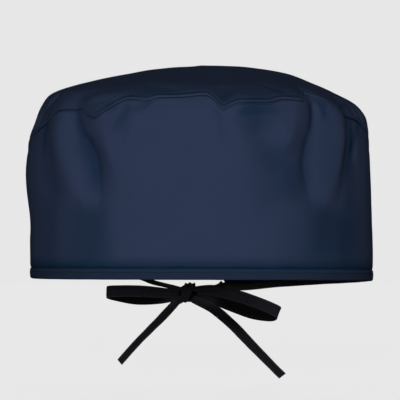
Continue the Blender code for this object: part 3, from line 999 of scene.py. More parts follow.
@dataclass(frozen=True)
class Thread(Finish):
    """Twisted sewing thread."""

    pitch: float = 0.00018
    ply_pale: float = 0.9
    ply_rough: float = -0.15

    @cache
    def material(self) -> Material:
        """The finish as a material, made once."""
        made, tree = self.start()
        place = tree.node("ShaderNodeTexCoord").outputs["Object"]
        ply = tree.call(twist_group(), {"Place": place, "Pitch": self.pitch})["Ply"]
        colour = self.tone(tree, tree.maths("MULTIPLY", ply, self.ply_pale))
        self.apply(tree, colour, tree.maths("MULTIPLY_ADD", ply, self.ply_rough, self.roughness), ply)
        return made


SIDE_COTTON = Woven(
    "navy_side_cotton", (0.0337, 0.0506, 0.1086), (0.0484, 0.0696, 0.1408), painted_shade_tone=(0.0048, 0.0258, 0.0610)
)
# The side panel's navy cloth in a darker tone: painted shade on the crown, which faces away from the light.
CROWN_COTTON = Woven(
    "navy_crown_cotton", (0.0284, 0.0435, 0.0890), (0.0404, 0.0598, 0.1158), painted_shade_tone=(0.0048, 0.0258, 0.0610),
    patch=0.028,
)
# The side panel's navy cloth in a darker tone: painted shade on the hem, which turns under. Its painted shade
# tone is a plain grey for the shaded inside of the casing.
HEM_COTTON = Woven(
    "navy_hem_cotton", (0.0180, 0.0316, 0.0636), (0.0260, 0.0440, 0.0850), painted_shade_tone=(0.0400, 0.0415, 0.0440),
    patch=0.012,
)
TIE_COTTON = Woven(
    "near_black_tie_cotton", (0.0222, 0.0228, 0.0292), (0.0408, 0.0415, 0.0510),
    painted_shade_tone=(0.0030, 0.0032, 0.0036),
    yarn=Yarn.TAPE, patch=0.009, reach=0.0008,
)
NAVY_THREAD = Thread("navy_thread", (0.0180, 0.0300, 0.0640), (0.0270, 0.0430, 0.0860), 0.6, 0.3, 0.00003)
BLACK_THREAD = Thread("black_thread", (0.0130, 0.0136, 0.0180), (0.0220, 0.0230, 0.0290), 0.6, 0.3, 0.00003)


@dataclass
class Stitches:
    """A row of stitches, each a little thread that dips into the cloth at its ends."""

    name: str
    thread: Thread
    length: float = 0.0023
    pitch: float = 0.0028
    thickness: float = 0.00045
    flatness: float = 0.7
    around: int = 6
    along: int = 6

    def build(self, line: Array, outward: Array, slot: str) -> Piece:
        """Make the row.

        Args:
            line: Points along the row, on the cloth's face.
            outward: The direction out of the cloth at each point.
            slot: The material slot, which is not used.

        Returns:
            The stitches as one object.
        """
        lengths = lengths_along(line)
        half = self.pitch / 2.0

        def at(table: Array, place: float) -> Vector:
            """A table's value at a place along the row."""
            return Vector([np.interp(place, lengths, column) for column in table.T])

        shape = bmesh.new()
        for middle in np.arange(self.pitch, lengths[-1] - half, self.pitch):
            forward = (at(line, middle + half) - at(line, middle - half)).normalized()
            out = at(outward, middle)
            out = (out - forward * out.dot(forward)).normalized()
            aside = out.cross(forward)
            deep = self.thickness * self.flatness
            turn = Matrix((aside * self.thickness, out * deep, forward * self.length)).transposed()
            place = Matrix.Translation(at(line, middle)) @ turn.to_4x4()
            bmesh.ops.create_uvsphere(
                shape, u_segments=self.around, v_segments=self.along, radius=0.5, matrix=place
            )
        bmesh.ops.recalc_face_normals(shape, faces=shape.faces)
        piece = put_shape(self.name, shape, self.thread.material())
        declare(piece, slot)
        return piece


@dataclass
class Hem:
    """The folded casing along the lower edge, with its topstitching near the fold's upper edge.

    proud is how far the casing stands out of the side panel. Its upper edge thins to a lip, over
    the height of the lap. The stitch row, the roll and the lap's step are heights above its foot.
    """

    form: CapForm
    wall: float = 0.0022
    proud: float = 0.0001
    height: float = 0.0055
    lap: float = 0.0017
    lap_reach: float = 0.0005
    lip: float = 0.0005
    stitch_row: Hump = Hump(0.0047, 0.0009)
    stitch_dip: float = 0.00016
    pucker: float = 0.00008
    roll: Hump = Hump(0.0034, 0.0024)
    bulge: float = 0.00012
    unevenness: Waves = Waves(0.00014, 0.011, 0.004, 3.0)
    column_step: float = 0.42
    zones: Zones = Zones(0.0028, 7, 1, 0.0016, 8)
    stitches: Stitches = field(default_factory=lambda: Stitches("hem_stitches", NAVY_THREAD))

    def face(self, angle: Array, run: Array) -> Array:
        """The depth of the hem's outer face."""
        height = run - self.form.hem_run(angle)
        around = self.form.around(angle)
        row = self.stitch_row.at(height)
        wave = np.cos(2.0 * np.pi * around / self.stitches.pitch)
        roll = self.bulge * self.roll.at(height)
        uneven = self.unevenness.at(around, height)
        return -self.proud - roll + self.stitch_dip * row + self.pucker * wave * row + uneven

    def place(self, grid: Grid) -> Placed:
        """Places the hem's vertices. Its inner face takes the painted shade tone, a plain grey painted for
        how the inside of the casing looks in its shade.
        """
        foot = self.form.hem_run(grid.column)
        low = foot + self.wall / 2.0
        high = low + self.height - self.wall / 2.0 - self.lip / 2.0
        run = self.zones.run(grid.row, low, high)
        step = ease((run - high + self.lap) / self.lap_reach)
        outer = self.face(grid.column, run)
        inner = self.wall - self.proud + (self.lip - self.wall) * step
        half = (inner - outer) / 2.0
        angle = self.form.past_edge(grid.column, grid.past_column, half)
        run = run + grid.past_row * half
        points = self.form.cloth(angle, run, (inner + outer) / 2.0 - half * grid.lift)
        edge = np.minimum(run - foot, foot + self.height - run)
        flat = np.stack((self.form.around(angle), run), axis=-1)
        return Placed(points, flat, edge, (grid.lift < -0.5).astype(float))

    def build(self) -> list[Piece]:
        """Make the hem and its stitches."""
        angles = np.arange(self.form.LEFT_EDGE, self.form.RIGHT_EDGE, self.column_step)
        columns = Lines.between(np.append(angles, self.form.RIGHT_EDGE))
        rows = Lines.between(self.zones.places())
        piece = closed_wall("hem_band", columns, rows, self.place, HEM_COTTON.material())
        declare(piece, "hem_cotton", "hem_casing")
        run = self.form.hem_run(angles) + self.stitch_row.middle
        line = self.form.cloth(angles, run, self.face(angles, run) + self.pucker)
        return [piece, self.stitches.build(line, self.form.outward(angles, run), "hem_cotton")]


@dataclass
class SidePanel:
    """The tall front and side band of cloth, from behind the hem's lip to the seam."""

    form: CapForm
    hem: Hem
    wall: float = 0.0012
    lap: float = 0.0012
    seam_lap: float = 0.0012
    column_step: float = 0.95
    fine_step: float = 0.55
    zones: Zones = Zones(0.0060, 13, 42, 0.0090, 20)
    # Above the hem, the cloth comes out from behind the hem's lip in two steps.
    tuck: float = 0.00046
    above_hem: tuple[Step, Step] = (Step(-0.0004, 0.0034), Step(0.0002, 0.0012))
    # At the seam, it goes in under the crown's edge. At the back, a share of that is out of sight.
    seam_tuck: float = 0.0012
    under_seam: Step = Step(0.0013, -0.0014)
    back: Step = Step(80.0, 40.0)
    hidden_share: float = 0.6
    hidden_under_seam: Step = Step(0.0003, -0.0007)
    lap_gap: float = 0.00010
    # Below the seam, it dips in a shallow band, which is deepest right of the front.
    band: Hump = Hump(0.0046, 0.0042)
    band_depth: float = 0.00015
    brow: Hump = Hump(21.0, 17.0)
    brow_depth: float = 0.0006
    # Its slack, which fades out near the hem and the seam, and is drawn slantwise at the back.
    slack: tuple[Waves, Waves] = (Waves(0.00035, 0.030, 0.024, 11.0), Waves(0.00012, 0.009, 0.012, 5.0))
    drag: Waves = Waves(0.0006, 0.022, 0.011, 23.0)
    drag_slant: Pair = (0.05, 0.06)
    quiet_above_hem: Step = Step(0.0, 0.010)
    quiet_under_seam: Step = Step(0.0, 0.008)
    # The back edges are turned in and stitched, at this distance from the edge.
    turned: Hump = Hump(0.0075, 0.0012)
    turned_depth: float = 0.00025
    back_radius: float = 0.100
    stitch_rise: float = 0.00017
    stitch_ends: Pair = (0.0006, 0.0010)
    stitch_points: int = 40
    # Painted shade: above the hem, in the uneven line along the hem, at the sides and along the seam.
    turn_shade: float = 0.69
    turn_fade: Step = Step(0.0004, 0.0070)
    line_shade: float = 0.64
    line_fade: Step = Step(0.0002, 0.0016)
    line_mean: float = 0.62
    line_range: Pair = (0.12, 1.3)
    line_waves: Waves = Waves(0.62, 0.017, 1.0, 31.0)
    line_rags: Waves = Waves(0.0006, 0.008, 1.0, 5.0)
    side_shade: float = 0.12
    side_place: Hump = Hump(68.0, 40.0)
    seam_shade: float = 0.42
    seam_fade: Step = Step(0.0, 0.0036)

    def above(self, angle: Array, run: Array) -> Array:
        """How far above the hem each point is."""
        return run - self.form.hem_run(angle) - self.hem.height

    def side_distance(self, angle: Array) -> Array:
        """How far each point is from the panel's nearer back edge."""
        nearer = np.minimum(angle - self.form.LEFT_EDGE, self.form.RIGHT_EDGE - angle)
        return np.radians(np.maximum(nearer, 0.0)) * self.back_radius

    def relief(self, angle: Array, run: Array) -> Array:
        """How far the panel's own relief draws it in: its seam, its hem line and its slack."""
        above = self.above(angle, run)
        below = self.form.seam_run(angle) - run
        first, second = (step.at(above) for step in self.above_hem)
        tucked = self.tuck * (1.0 - 0.5 * first - 0.5 * second)
        back = self.back.at(np.abs(angle))
        top = self.seam_tuck * (1.0 - self.hidden_share * back) * self.under_seam.at(below)
        hidden = (self.hidden_share * self.seam_tuck + self.lap_gap) * back
        top = top + hidden * self.hidden_under_seam.at(below)
        band = (self.band_depth + self.brow_depth * self.brow.at(angle)) * self.band.at(below)
        around = self.form.around(angle)
        slack = sum(waves.at(around, run) for waves in self.slack)
        drag = self.drag.height * back * ripple(
            around / self.drag.length + run / self.drag_slant[0],
            run / self.drag.width - around / self.drag_slant[1],
            self.drag.seed,
        )
        quiet = self.quiet_above_hem.at(above) * self.quiet_under_seam.at(below)
        turned = self.turned_depth * self.turned.at(self.side_distance(angle))
        return tucked + top + band + (slack + drag) * quiet + turned

    def shade(self, angle: Array, run: Array) -> Array:
        """How much painted shade the cloth has, from none at 0 to its darkest at 1."""
        above = self.above(angle, run)
        around = self.form.around(angle)
        uneven = np.clip(self.line_mean + self.line_waves.on_line(around), *self.line_range)
        line = ease((above - self.line_fade.start + self.line_rags.on_line(around)) / self.line_fade.reach)
        seam = 1.0 - self.seam_fade.at(self.form.seam_run(angle) - run)
        shade = self.turn_shade * (1.0 - self.turn_fade.at(above))
        shade = shade + self.line_shade * uneven * (1.0 - line)
        shade = shade + self.side_shade * self.side_place.at(np.abs(angle))
        shade = shade + self.seam_shade * self.form.front_corner(angle) * seam
        return np.minimum(shade + self.form.painted_fold_shade(angle, run), 1.0)

    def place(self, grid: Grid) -> Placed:
        """Places the panel's vertices."""
        half = self.wall / 2.0
        seam = self.form.seam_run(grid.column)
        low = self.form.hem_run(grid.column) + self.hem.height - self.lap + half
        run = self.zones.run(grid.row, low, seam + self.seam_lap - half) + grid.past_row * half
        angle = self.form.past_edge(grid.column, grid.past_column, half)
        depth = self.relief(grid.column, run) + half - half * grid.lift
        points = self.form.cloth(angle, run, depth)
        # Near the seam and the back edges the cloth is paler: wear, and along the seam a painted highlight.
        edge = np.minimum(seam - run, self.side_distance(grid.column))
        flat = np.stack((self.form.around(angle), run), axis=-1)
        return Placed(points, flat, np.maximum(edge, 0.0), self.shade(grid.column, run))

    def build(self) -> list[Piece]:
        """Make the panel and the stitching of its turned back edges."""
        left, right = self.form.LEFT_EDGE, self.form.RIGHT_EDGE
        columns = Lines.between(spaced_angles(left, right, self.column_step, self.fine_step))
        rows = Lines.between(self.zones.places())
        piece = closed_wall("side_panel_cloth", columns, rows, self.place, SIDE_COTTON.material())
        declare(piece, "side_cotton", "side_panel")
        made = [piece]
        inset = math.degrees(self.turned.middle / self.back_radius)
        for name, place in (("left", left + inset), ("right", right - inset)):
            angle = np.full(self.stitch_points, place)
            low = self.form.hem_run(angle[:1])[0] + self.hem.height + self.stitch_ends[0]
            high = self.form.seam_run(angle[:1])[0] - self.stitch_ends[1]
            run = np.linspace(low, high, self.stitch_points)
            line = self.form.cloth(angle, run, self.relief(angle, run) - self.stitch_rise)
            stitches = Stitches(f"back_edge_stitches_{name}", NAVY_THREAD)
            made.append(stitches.build(line, self.form.outward(angle, run), "side_cotton"))
        return made


class Gather(NamedTuple):
    """A tuck in the crown's edge, which runs up from the seam and fades out."""

    angle: float
    drift: float
    width: float
    length: float
    depth: float


@dataclass
class Crown:
    """The domed top, which runs down the back to the arch over the tie gap."""

    form: CapForm
    wall: float = 0.0012
    seam_gap: float = 0.0002
    arch_rise: float = 0.006
    column_step: float = 1.0
    fine_step: float = 0.7
    zones: Zones = Zones(0.0100, 20, 58, 0.0005, 2)
    # Above its edge, the cloth rolls out and dips in. It hardly rolls at the front corners, and
    # stands out most right of the front.
    roll: Hump = Hump(0.0007, 0.0012)
    roll_height: float = 0.0003
    dip: Hump = Hump(0.0030, 0.0022)
    dip_depth: float = 0.0004
    corner_ease: float = 0.85
    # At the front corners the edge is taken as farther off, so the pale line along it, wear with a painted
    # highlight, fades out there.
    corner_less_wear_and_highlight: float = 0.004
    brow: Hump = Hump(20.0, 14.0)
    brow_roll: Hump = Hump(0.0014, 0.0022)
    brow_height: float = 0.0006
    # The gathers' places, the ranges that they are drawn from, and how much more they have at the
    # back. Each starts and fades out along its length, and has a low ridge beside it.
    seed: int = 12
    gathers_first: float = 64.0
    gathers_last: float = 296.0
    gather_step: Pair = (6.0, 10.5)
    gather_drift: Pair = (-60.0, 60.0)
    gather_width: Pair = (2.8, 4.4)
    gather_length: Pair = (0.014, 0.026)
    gather_depth: Pair = (0.0006, 0.0011)
    back_length: float = 0.016
    back_depth: float = 0.0005
    gather_start: Step = Step(0.0008, 0.0030)
    gather_fade: float = 0.8
    ridge_aside: float = 1.2
    ridge_height: float = 0.35
    # Its slack, which fades out near the edge.
    slack: tuple[Waves, Waves] = (Waves(0.0007, 0.034, 0.034, 2.0), Waves(0.00022, 0.012, 0.012, 8.0))
    quiet: Step = Step(0.0, 0.012)
    # The arch's edge is turned in and stitched, at this distance from the edge.
    turned: Hump = Hump(0.0070, 0.0012)
    turned_depth: float = 0.0003
    turned_rise: float = 4.0
    stitch_inset: float = 1.0
    stitch_points: int = 60
    # Painted shade above the front of the seam, which leaves the crown's pale edge uncovered.
    brow_shade: float = 0.36
    brow_place: Hump = Hump(0.0, 75.0)
    brow_start: Step = Step(0.0005, 0.0010)
    brow_fade: Step = Step(0.0, 0.018)

    def __post_init__(self) -> None:
        """Set the gathers out along the sides and the back."""
        chance = random.Random(self.seed)
        self.gathers = []
        angle = self.gathers_first
        while angle < self.gathers_last:
            share = (angle - self.gathers_first) / (self.gathers_last - self.gathers_first)
            back = math.sin(math.radians(share * 180.0))
            self.gathers.append(Gather(
                angle=angle,
                drift=chance.uniform(*self.gather_drift),
                width=chance.uniform(*self.gather_width),
                length=chance.uniform(*self.gather_length) + self.back_length * back,
                depth=chance.uniform(*self.gather_depth) + self.back_depth * back,
            ))
            angle += chance.uniform(*self.gather_step)

    def foot(self, angle: Array) -> Array:
        """The run of the crown's lower edge."""
        return self.form.seam_run(angle) + self.seam_gap + self.arch_rise * np.sin(np.pi * self.arch(angle))

    def arch(self, angle: Array) -> Array:
        """How far across the gap between the panel's back edges a point is, from 0 to 1."""
        edge = self.form.RIGHT_EDGE
        return np.clip((angle - edge) / (self.form.LEFT_EDGE + 360.0 - edge), 0.0, 1.0)

    def rolled(self, angle: Array, above: Array) -> Array:
        """How far the cloth's roll and dip above its edge draw it in."""
        roll = -self.roll_height * self.roll.at(above) + self.dip_depth * self.dip.at(above)
        roll = roll * (1.0 - self.corner_ease * self.form.front_corner(angle))
        return roll - self.brow_height * self.brow.at(angle) * self.brow_roll.at(above)

    def gathered(self, gather: Gather, angle: Array, above: Array) -> Array:
        """How far a gather and the ridge beside it draw the cloth in."""
        offset = half_turn(angle - gather.angle - gather.drift * above)
        end = ease((gather.length - above) / (gather.length * self.gather_fade))
        fold = hump(offset / gather.width)
        ridge = self.ridge_height * hump((offset - gather.width * self.ridge_aside) / gather.width)
        return self.gather_start.at(above) * end * gather.depth * (fold - ridge)

    def relief(self, angle: Array, run: Array) -> Array:
        """How far the crown's own relief draws it in: its rolled edge, gathers and slack."""
        above = run - self.foot(angle)
        total = self.rolled(angle, above)
        for gather in self.gathers:
            total = total + self.gathered(gather, angle, above)
        slack = sum(waves.at(*self.flat(angle, run).T) for waves in self.slack)
        middle = ease(np.sin(np.pi * self.arch(angle)) * self.turned_rise)
        return total + slack * self.quiet.at(above) + self.turned_depth * self.turned.at(above) * middle

    def flat(self, angle: Array, run: Array) -> Array:
        """Where each point lies on the crown laid flat."""
        turn = np.radians(angle)
        reach = self.form.top - run
        return np.stack((reach * np.sin(turn), -reach * np.cos(turn)), axis=-1)

    def place(self, grid: Grid) -> Placed:
        """Places the crown's vertices."""
        half = self.wall / 2.0
        low = self.foot(grid.column) + half
        run = self.zones.run(grid.row, low, np.full_like(low, self.form.top))
        run = np.where(grid.row >= 3.0, self.form.top, run) + grid.past_row * half
        depth = self.relief(grid.column, run) + half - half * grid.lift
        points = self.form.cloth(grid.column, run, depth)
        top = run >= self.form.top
        points[top] = points[top].mean(axis=0) if top.any() else points[top]
        edge = run - self.foot(grid.column)
        # Painted shade on the crown above the front of the seam.
        brow = self.brow_shade * self.brow_place.at(grid.column) * (1.0 - self.brow_fade.at(edge))
        brow = brow * self.brow_start.at(edge)
        shade = np.minimum(brow + self.form.painted_fold_shade(grid.column, run), 1.0)
        # The crown's foot is paler: wear, and a painted highlight along the seam, which fades at the front
        # corners.
        wear_and_highlight_edge = edge + self.corner_less_wear_and_highlight * self.form.front_corner(grid.column)
        return Placed(points, self.flat(grid.column, run), wear_and_highlight_edge, shade)

    def build(self) -> list[Piece]:
        """Make the crown and the stitching of its arch."""
        left, right = self.form.LEFT_EDGE, self.form.RIGHT_EDGE
        angles = spaced_angles(left, left + 360.0, self.column_step, self.fine_step)
        columns = Lines.between(angles, False, False)
        rows = Lines.between(self.zones.places(), last_round=False)
        piece = closed_wall("crown_cloth", columns, rows, self.place, CROWN_COTTON.material())
        declare(piece, "crown_cotton", "crown_panel")
        ends = right + self.stitch_inset, left + (360.0 - self.stitch_inset)
        angle = np.linspace(*ends, self.stitch_points)
        run = self.foot(angle) + self.turned.middle
        line = self.form.cloth(angle, run, self.relief(angle, run))
        stitches = Stitches("arch_stitches", NAVY_THREAD)
        return [piece, stitches.build(line, self.form.outward(angle, run), "crown_cotton")]


def route(stops: Sequence[Stop], steps: int) -> Array:
    """A smooth curve through a tape's stops.

    Args:
        stops: The tape's route.
        steps: How many points the curve has from one stop to the next.

    Returns:
        One row for each point: x, y, z, width and lean.
    """
    table = np.array(stops)
    padded = np.concatenate((table[:1], table, table[-1:]))
    part = (np.arange(steps) / steps)[:, None]
    runs = []
    for before, start, end, after in zip(padded, padded[1:], padded[2:], padded[3:]):
        runs.append(0.5 * (
            2.0 * start
            + (end - before) * part
            + (2.0 * before - 5.0 * start + 4.0 * end - after) * part ** 2
            + (3.0 * start - before - 3.0 * end + after) * part ** 3
        ))
    return np.concatenate((*runs, table[-1:]))


@dataclass
class Tape:
    """A flat folded tape along a route, which buckles where it is drawn together.

    Painted shade darkens a loop's far leg, and a tail from its top down to where it pales again, and
    can add painted shadow where a loop hangs over a tail. The steps and humps of the painted shade are
    depths from front to back, and heights.
    """

    name: str
    stops: Sequence[Stop]
    full_width: float = 0.0068
    thickness: float = 0.0010
    steps: int = 10
    across_lines: int = 15
    # Across its width the tape is cupped and wavy. Where it is drawn together it folds as well, in
    # waves that turn along it.
    cupping: float = 0.00035
    buckle: float = 0.55
    buckle_turn: float = 90.0
    wave_height: float = 0.0003
    wave_length: float = 0.009
    waves_across: float = 1.6
    wave_seed: float = 6.0
    # The stitches that close its fold lie in a groove, at this distance from its lower edge.
    stitch_row: Hump = Hump(0.0012, 0.0008)
    stitch_dip: float = 0.00012
    stitch_sink: float = 0.00010
    # Painted shade.
    far_from: float = 0.1055
    far_shade: float = 0.93
    far_step: Step = Step(0.1086, 0.0030)
    tail_shade: float = 0.52
    tail_top: Step = Step(-0.0112, -0.0060)
    tail_foot: Step = Step(-0.034, -0.018)
    foot_paling: float = 0.45
    overhang_shadow: float = 0.0
    overhang_shadow_place: Hump = Hump(-0.0215, 0.0125)

    def __post_init__(self) -> None:
        """Work out the tape's centre points and its directions."""
        path = route(self.stops, self.steps)
        self.points = path[:, :3]
        self.widths = path[:, 3]
        self.along = unit(np.gradient(self.points, axis=0))
        upright = unit(np.array((0.0, 0.0, 1.0)) - self.along * self.along[:, 2:3])
        lean = np.radians(path[:, 4])[:, None]
        self.across = upright * np.cos(lean) + np.cross(self.along, upright) * np.sin(lean)
        self.through = np.cross(self.across, self.along)
        self.lengths = lengths_along(self.points)

    def swell(self, index: Array, share: Array) -> Array:
        """How far the tape stands out of its own plane, at a share of its width from 0 to 1."""
        narrow = np.clip(self.full_width / self.widths[index] - 1.0, 0.0, 1.0)
        height = self.widths[index] / math.pi * np.sqrt(narrow) * self.buckle
        fold = height * np.cos(2.0 * np.pi * share + self.lengths[index] * self.buckle_turn)
        cup = self.cupping * (1.0 - 4.0 * (share - 0.5) ** 2)
        waves = ripple(self.lengths[index] / self.wave_length, share * self.waves_across, self.wave_seed)
        return fold + cup + self.wave_height * waves

    def shade(self, points: Array) -> Array:
        """How much painted shade the tape has, from none at 0 to its darkest at 1."""
        depth, height = points[:, 1], points[:, 2]
        far = self.far_shade * self.far_step.at(depth)
        tail = self.tail_top.at(height) * (1.0 - self.foot_paling * self.tail_foot.at(height))
        near = self.tail_shade * tail + self.overhang_shadow * self.overhang_shadow_place.at(height)
        return np.where(depth > self.far_from, far, near)

    def place(self, grid: Grid) -> Placed:
        """Places the tape's vertices."""
        index = np.rint(grid.column).astype(int)
        half = self.thickness / 2.0
        width = self.widths[index] - self.thickness
        aside = width * (grid.row - 0.5) + grid.past_row * half
        groove = self.stitch_dip * self.stitch_row.at(grid.row * self.full_width)
        lift = (half - groove) * grid.lift + self.swell(index, grid.row)
        points = (
            self.points[index]
            + self.across[index] * aside[:, None]
            + self.through[index] * lift[:, None]
            + self.along[index] * (grid.past_column * half)[:, None]
        )
        flat = np.stack((self.lengths[index], grid.row * self.full_width), axis=-1)
        edge = np.minimum(grid.row, 1.0 - grid.row) * self.full_width
        return Placed(points, flat, edge, self.shade(points))

    def build(self) -> Piece:
        """Make the tape."""
        columns = Lines.between(np.arange(len(self.points)))
        rows = Lines.between(np.linspace(0.0, 1.0, self.across_lines))
        return closed_wall(self.name, columns, rows, self.place, TIE_COTTON.material())

    def stitching(self, side: float) -> Piece:
        """Make the stitches that close the tape's fold, on one face: +1 or -1."""
        index = np.arange(len(self.points))
        share = np.full(len(index), self.stitch_row.middle / self.full_width)
        aside = (self.widths - self.thickness) * (share - 0.5)
        lift = self.swell(index, share) + side * (self.thickness / 2.0 - self.stitch_sink)
        line = self.points + self.across * aside[:, None] + self.through * lift[:, None]
        name = f"{self.name}_stitches_{'front' if side > 0.0 else 'back'}"
        stitches = Stitches(name, BLACK_THREAD, length=0.0019, pitch=0.0024, thickness=0.00038)
        return stitches.build(line, self.through * side, "tie_tape")


# The ties' stretches as seen from the front. A lead ends where its tape turns inside the knot, and
# a loop where its tape crosses the knot to its tail.
LEAD_LEFT = tuple(starmap(Stop, (
    (-0.0300, 0.0968, 0.0000, 0.0040, 62.0), (-0.0210, 0.0988, -0.0024, 0.0040, 74.0),
    (-0.0134, 0.1008, -0.0044, 0.0038, 74.0), (-0.0085, 0.1022, -0.0052, 0.0036, 60.0),
    (-0.0085, 0.1040, -0.0062, 0.0036, 20.0),
)))
LEAD_RIGHT = tuple(starmap(Stop, (
    (0.0092, 0.1009, -0.0034, 0.0040, 58.0), (0.0030, 0.1010, -0.0043, 0.0040, 74.0),
    (-0.0028, 0.1010, -0.0045, 0.0038, 74.0), (-0.0077, 0.1024, -0.0046, 0.0036, 60.0),
    (-0.0077, 0.1038, -0.0056, 0.0036, 20.0),
)))
LOOP_LEFT = tuple(starmap(Stop, (
    (-0.0134, 0.1047, -0.0068, 0.0042, 0.0), (-0.0200, 0.1056, -0.0067, 0.0056, 4.0),
    (-0.0330, 0.1058, -0.0058, 0.0066, 6.0), (-0.0460, 0.1064, -0.0057, 0.0068, 4.0),
    (-0.0528, 0.1092, -0.0062, 0.0068, 0.0), (-0.0480, 0.1128, -0.0079, 0.0068, -6.0),
    (-0.0360, 0.1136, -0.0100, 0.0068, -10.0), (-0.0230, 0.1110, -0.0100, 0.0058, -6.0),
    (-0.0134, 0.1070, -0.0090, 0.0042, 0.0), (-0.0080, 0.1046, -0.0092, 0.0036, 0.0),
)))
LOOP_RIGHT = tuple(starmap(Stop, (
    (-0.0028, 0.1047, -0.0050, 0.0044, 0.0), (0.0070, 0.1058, -0.0052, 0.0062, 4.0),
    (0.0190, 0.1062, -0.0080, 0.0068, 10.0), (0.0300, 0.1062, -0.0116, 0.0068, 14.0),
    (0.0388, 0.1072, -0.0151, 0.0068, 18.0), (0.0430, 0.1102, -0.0177, 0.0068, 24.0),
    (0.0392, 0.1134, -0.0194, 0.0068, 6.0), (0.0290, 0.1142, -0.0181, 0.0068, -10.0),
    (0.0180, 0.1128, -0.0143, 0.0066, -8.0), (0.0070, 0.1098, -0.0105, 0.0056, -4.0),
    (-0.0028, 0.1070, -0.0085, 0.0042, 0.0), (-0.0082, 0.1046, -0.0094, 0.0036, 0.0),
)))
TAIL_LEFT = tuple(starmap(Stop, (
    (-0.0127, 0.1020, -0.0107, 0.0048, 20.0), (-0.0155, 0.1018, -0.0138, 0.0056, 40.0),
    (-0.0242, 0.1022, -0.0226, 0.0068, 50.0), (-0.0352, 0.1034, -0.0335, 0.0068, 53.0),
    (-0.0457, 0.1044, -0.0452, 0.0068, 54.0),
)))
TAIL_RIGHT = tuple(starmap(Stop, (
    (-0.0035, 0.1022, -0.0107, 0.0048, 10.0), (0.0068, 0.1012, -0.0158, 0.0064, 30.0),
    (0.0180, 0.1010, -0.0252, 0.0068, 40.0), (0.0302, 0.1024, -0.0378, 0.0068, 48.0),
    (0.0452, 0.1040, -0.0530, 0.0068, 56.0),
)))


@dataclass
class Knot:
    """The bow's knot: a band of tape drawn around the bundle of tapes that pass through it."""

    centre: Vector = field(default_factory=lambda: Vector((-0.0077, 0.1037, -0.0064)))
    band_width: float = 0.0060
    band_thickness: float = 0.0013
    around: int = 60
    section: int = 28
    # How far the band stands out from the knot's centre, towards the back and upwards, how much
    # thicker it is at the back, and how far and from which turn it slants.
    deep: float = 0.0041
    tall: float = 0.0047
    thickening: float = 0.25
    slant: float = 0.0014
    slant_turn: float = 0.4
    # Where around the band it is pinched, by how much, and how it is pleated and rumpled.
    pinch_place: Hump = Hump(-2.2, 0.9)
    pinch: float = 0.30
    pleat_depth: float = 0.00034
    pleats: float = 15.0
    pleat_sway: float = 1.3
    rumple_depth: float = 0.0003
    rumples: Triple = (2.5, 1.6, 4.0)
    # The bundle's size, its creases, and the step from its painted shade to the band's own tone.
    core: Vector = field(default_factory=lambda: Vector((0.0104, 0.0074, 0.0084)))
    core_crease: float = 0.10
    core_creases: float = 4.0
    core_twist: float = 2.0
    core_shade_step: Step = Step(0.82, 0.20)

    def band(self, shape: Shape) -> None:
        """Add the band: a flat tape's section spun around the bundle, then drawn slantwise."""
        made = bmesh.ops.create_circle(shape, segments=self.section, radius=0.5)
        bmesh.ops.scale(shape, vec=(self.band_width, self.band_thickness, 1.0), verts=made["verts"])
        bmesh.ops.translate(shape, vec=(0.0, self.deep, 0.0), verts=made["verts"])
        bmesh.ops.spin(
            shape, geom=shape.edges[:], cent=(0.0, 0.0, 0.0), axis=(1.0, 0.0, 0.0),
            angle=math.tau, steps=self.around, use_merge=True,
        )
        rumples_across, rumples_around, seed = self.rumples
        for vertex in shape.verts:
            turn = math.atan2(vertex.co.z, vertex.co.y)
            aside = vertex.co.x / self.band_width
            out = math.hypot(vertex.co.y, vertex.co.z) - self.deep
            pleat = self.pleat_depth * math.cos(aside * self.pleats + self.pleat_sway * math.sin(turn * 2.0))
            spot = Vector((aside * rumples_across, turn * rumples_around, seed))
            pleat += self.rumple_depth * noise.noise(spot)
            reach = self.deep + out * (1.0 + self.thickening * math.cos(turn)) + pleat
            drawn = 1.0 - self.pinch * float(self.pinch_place.at(turn))
            vertex.co.x = vertex.co.x * drawn + self.slant * math.sin(turn + self.slant_turn)
            vertex.co.y = reach * math.cos(turn)
            vertex.co.z = reach * math.sin(turn) * self.tall / self.deep

    def bundle(self, shape: Shape) -> None:
        """Add the bundle of tapes inside the band, which is creased along its length."""
        made = bmesh.ops.create_uvsphere(shape, u_segments=32, v_segments=16, radius=0.5)
        for vertex in made["verts"]:
            along, deep, tall = vertex.co.z, vertex.co.x, vertex.co.y
            turn = math.atan2(tall, deep) * self.core_creases + along * self.core_twist
            crease = 1.0 + self.core_crease * math.cos(turn)
            vertex.co = (along * self.core.x, deep * crease * self.core.y, tall * crease * self.core.z)

    def build(self) -> Piece:
        """Make the knot."""
        shape = bmesh.new()
        self.band(shape)
        self.bundle(shape)
        bmesh.ops.recalc_face_normals(shape, faces=shape.faces)
        floats = shape.verts.layers.float
        edge, shade = (floats.new(label) for label in ("edge", "shade"))
        cloth = shape.loops.layers.uv.new("cloth")
        for vertex in shape.verts:
            reach = math.hypot(vertex.co.y / self.deep, vertex.co.z / self.tall)
            vertex[edge] = max(self.band_width / 2.0 - abs(vertex.co.x), 0.0)
            # Painted shade on the bundle inside the band.
            vertex[shade] = 1.0 - float(self.core_shade_step.at(reach))
        for face in shape.faces:
            middle = face.calc_center_median()
            facing = math.atan2(middle.z, middle.y)
            for loop in face.loops:
                turn = math.atan2(loop.vert.co.z, loop.vert.co.y)
                turn = facing + (turn - facing + math.pi) % math.tau - math.pi
                loop[cloth].uv = (turn * self.deep, loop.vert.co.x)
        bmesh.ops.translate(shape, vec=self.centre, verts=shape.verts)
        piece = put_shape("bow_knot_wrap", shape, TIE_COTTON.material())
        declare(piece, "tie_tape", "bow_knot")
        return piece


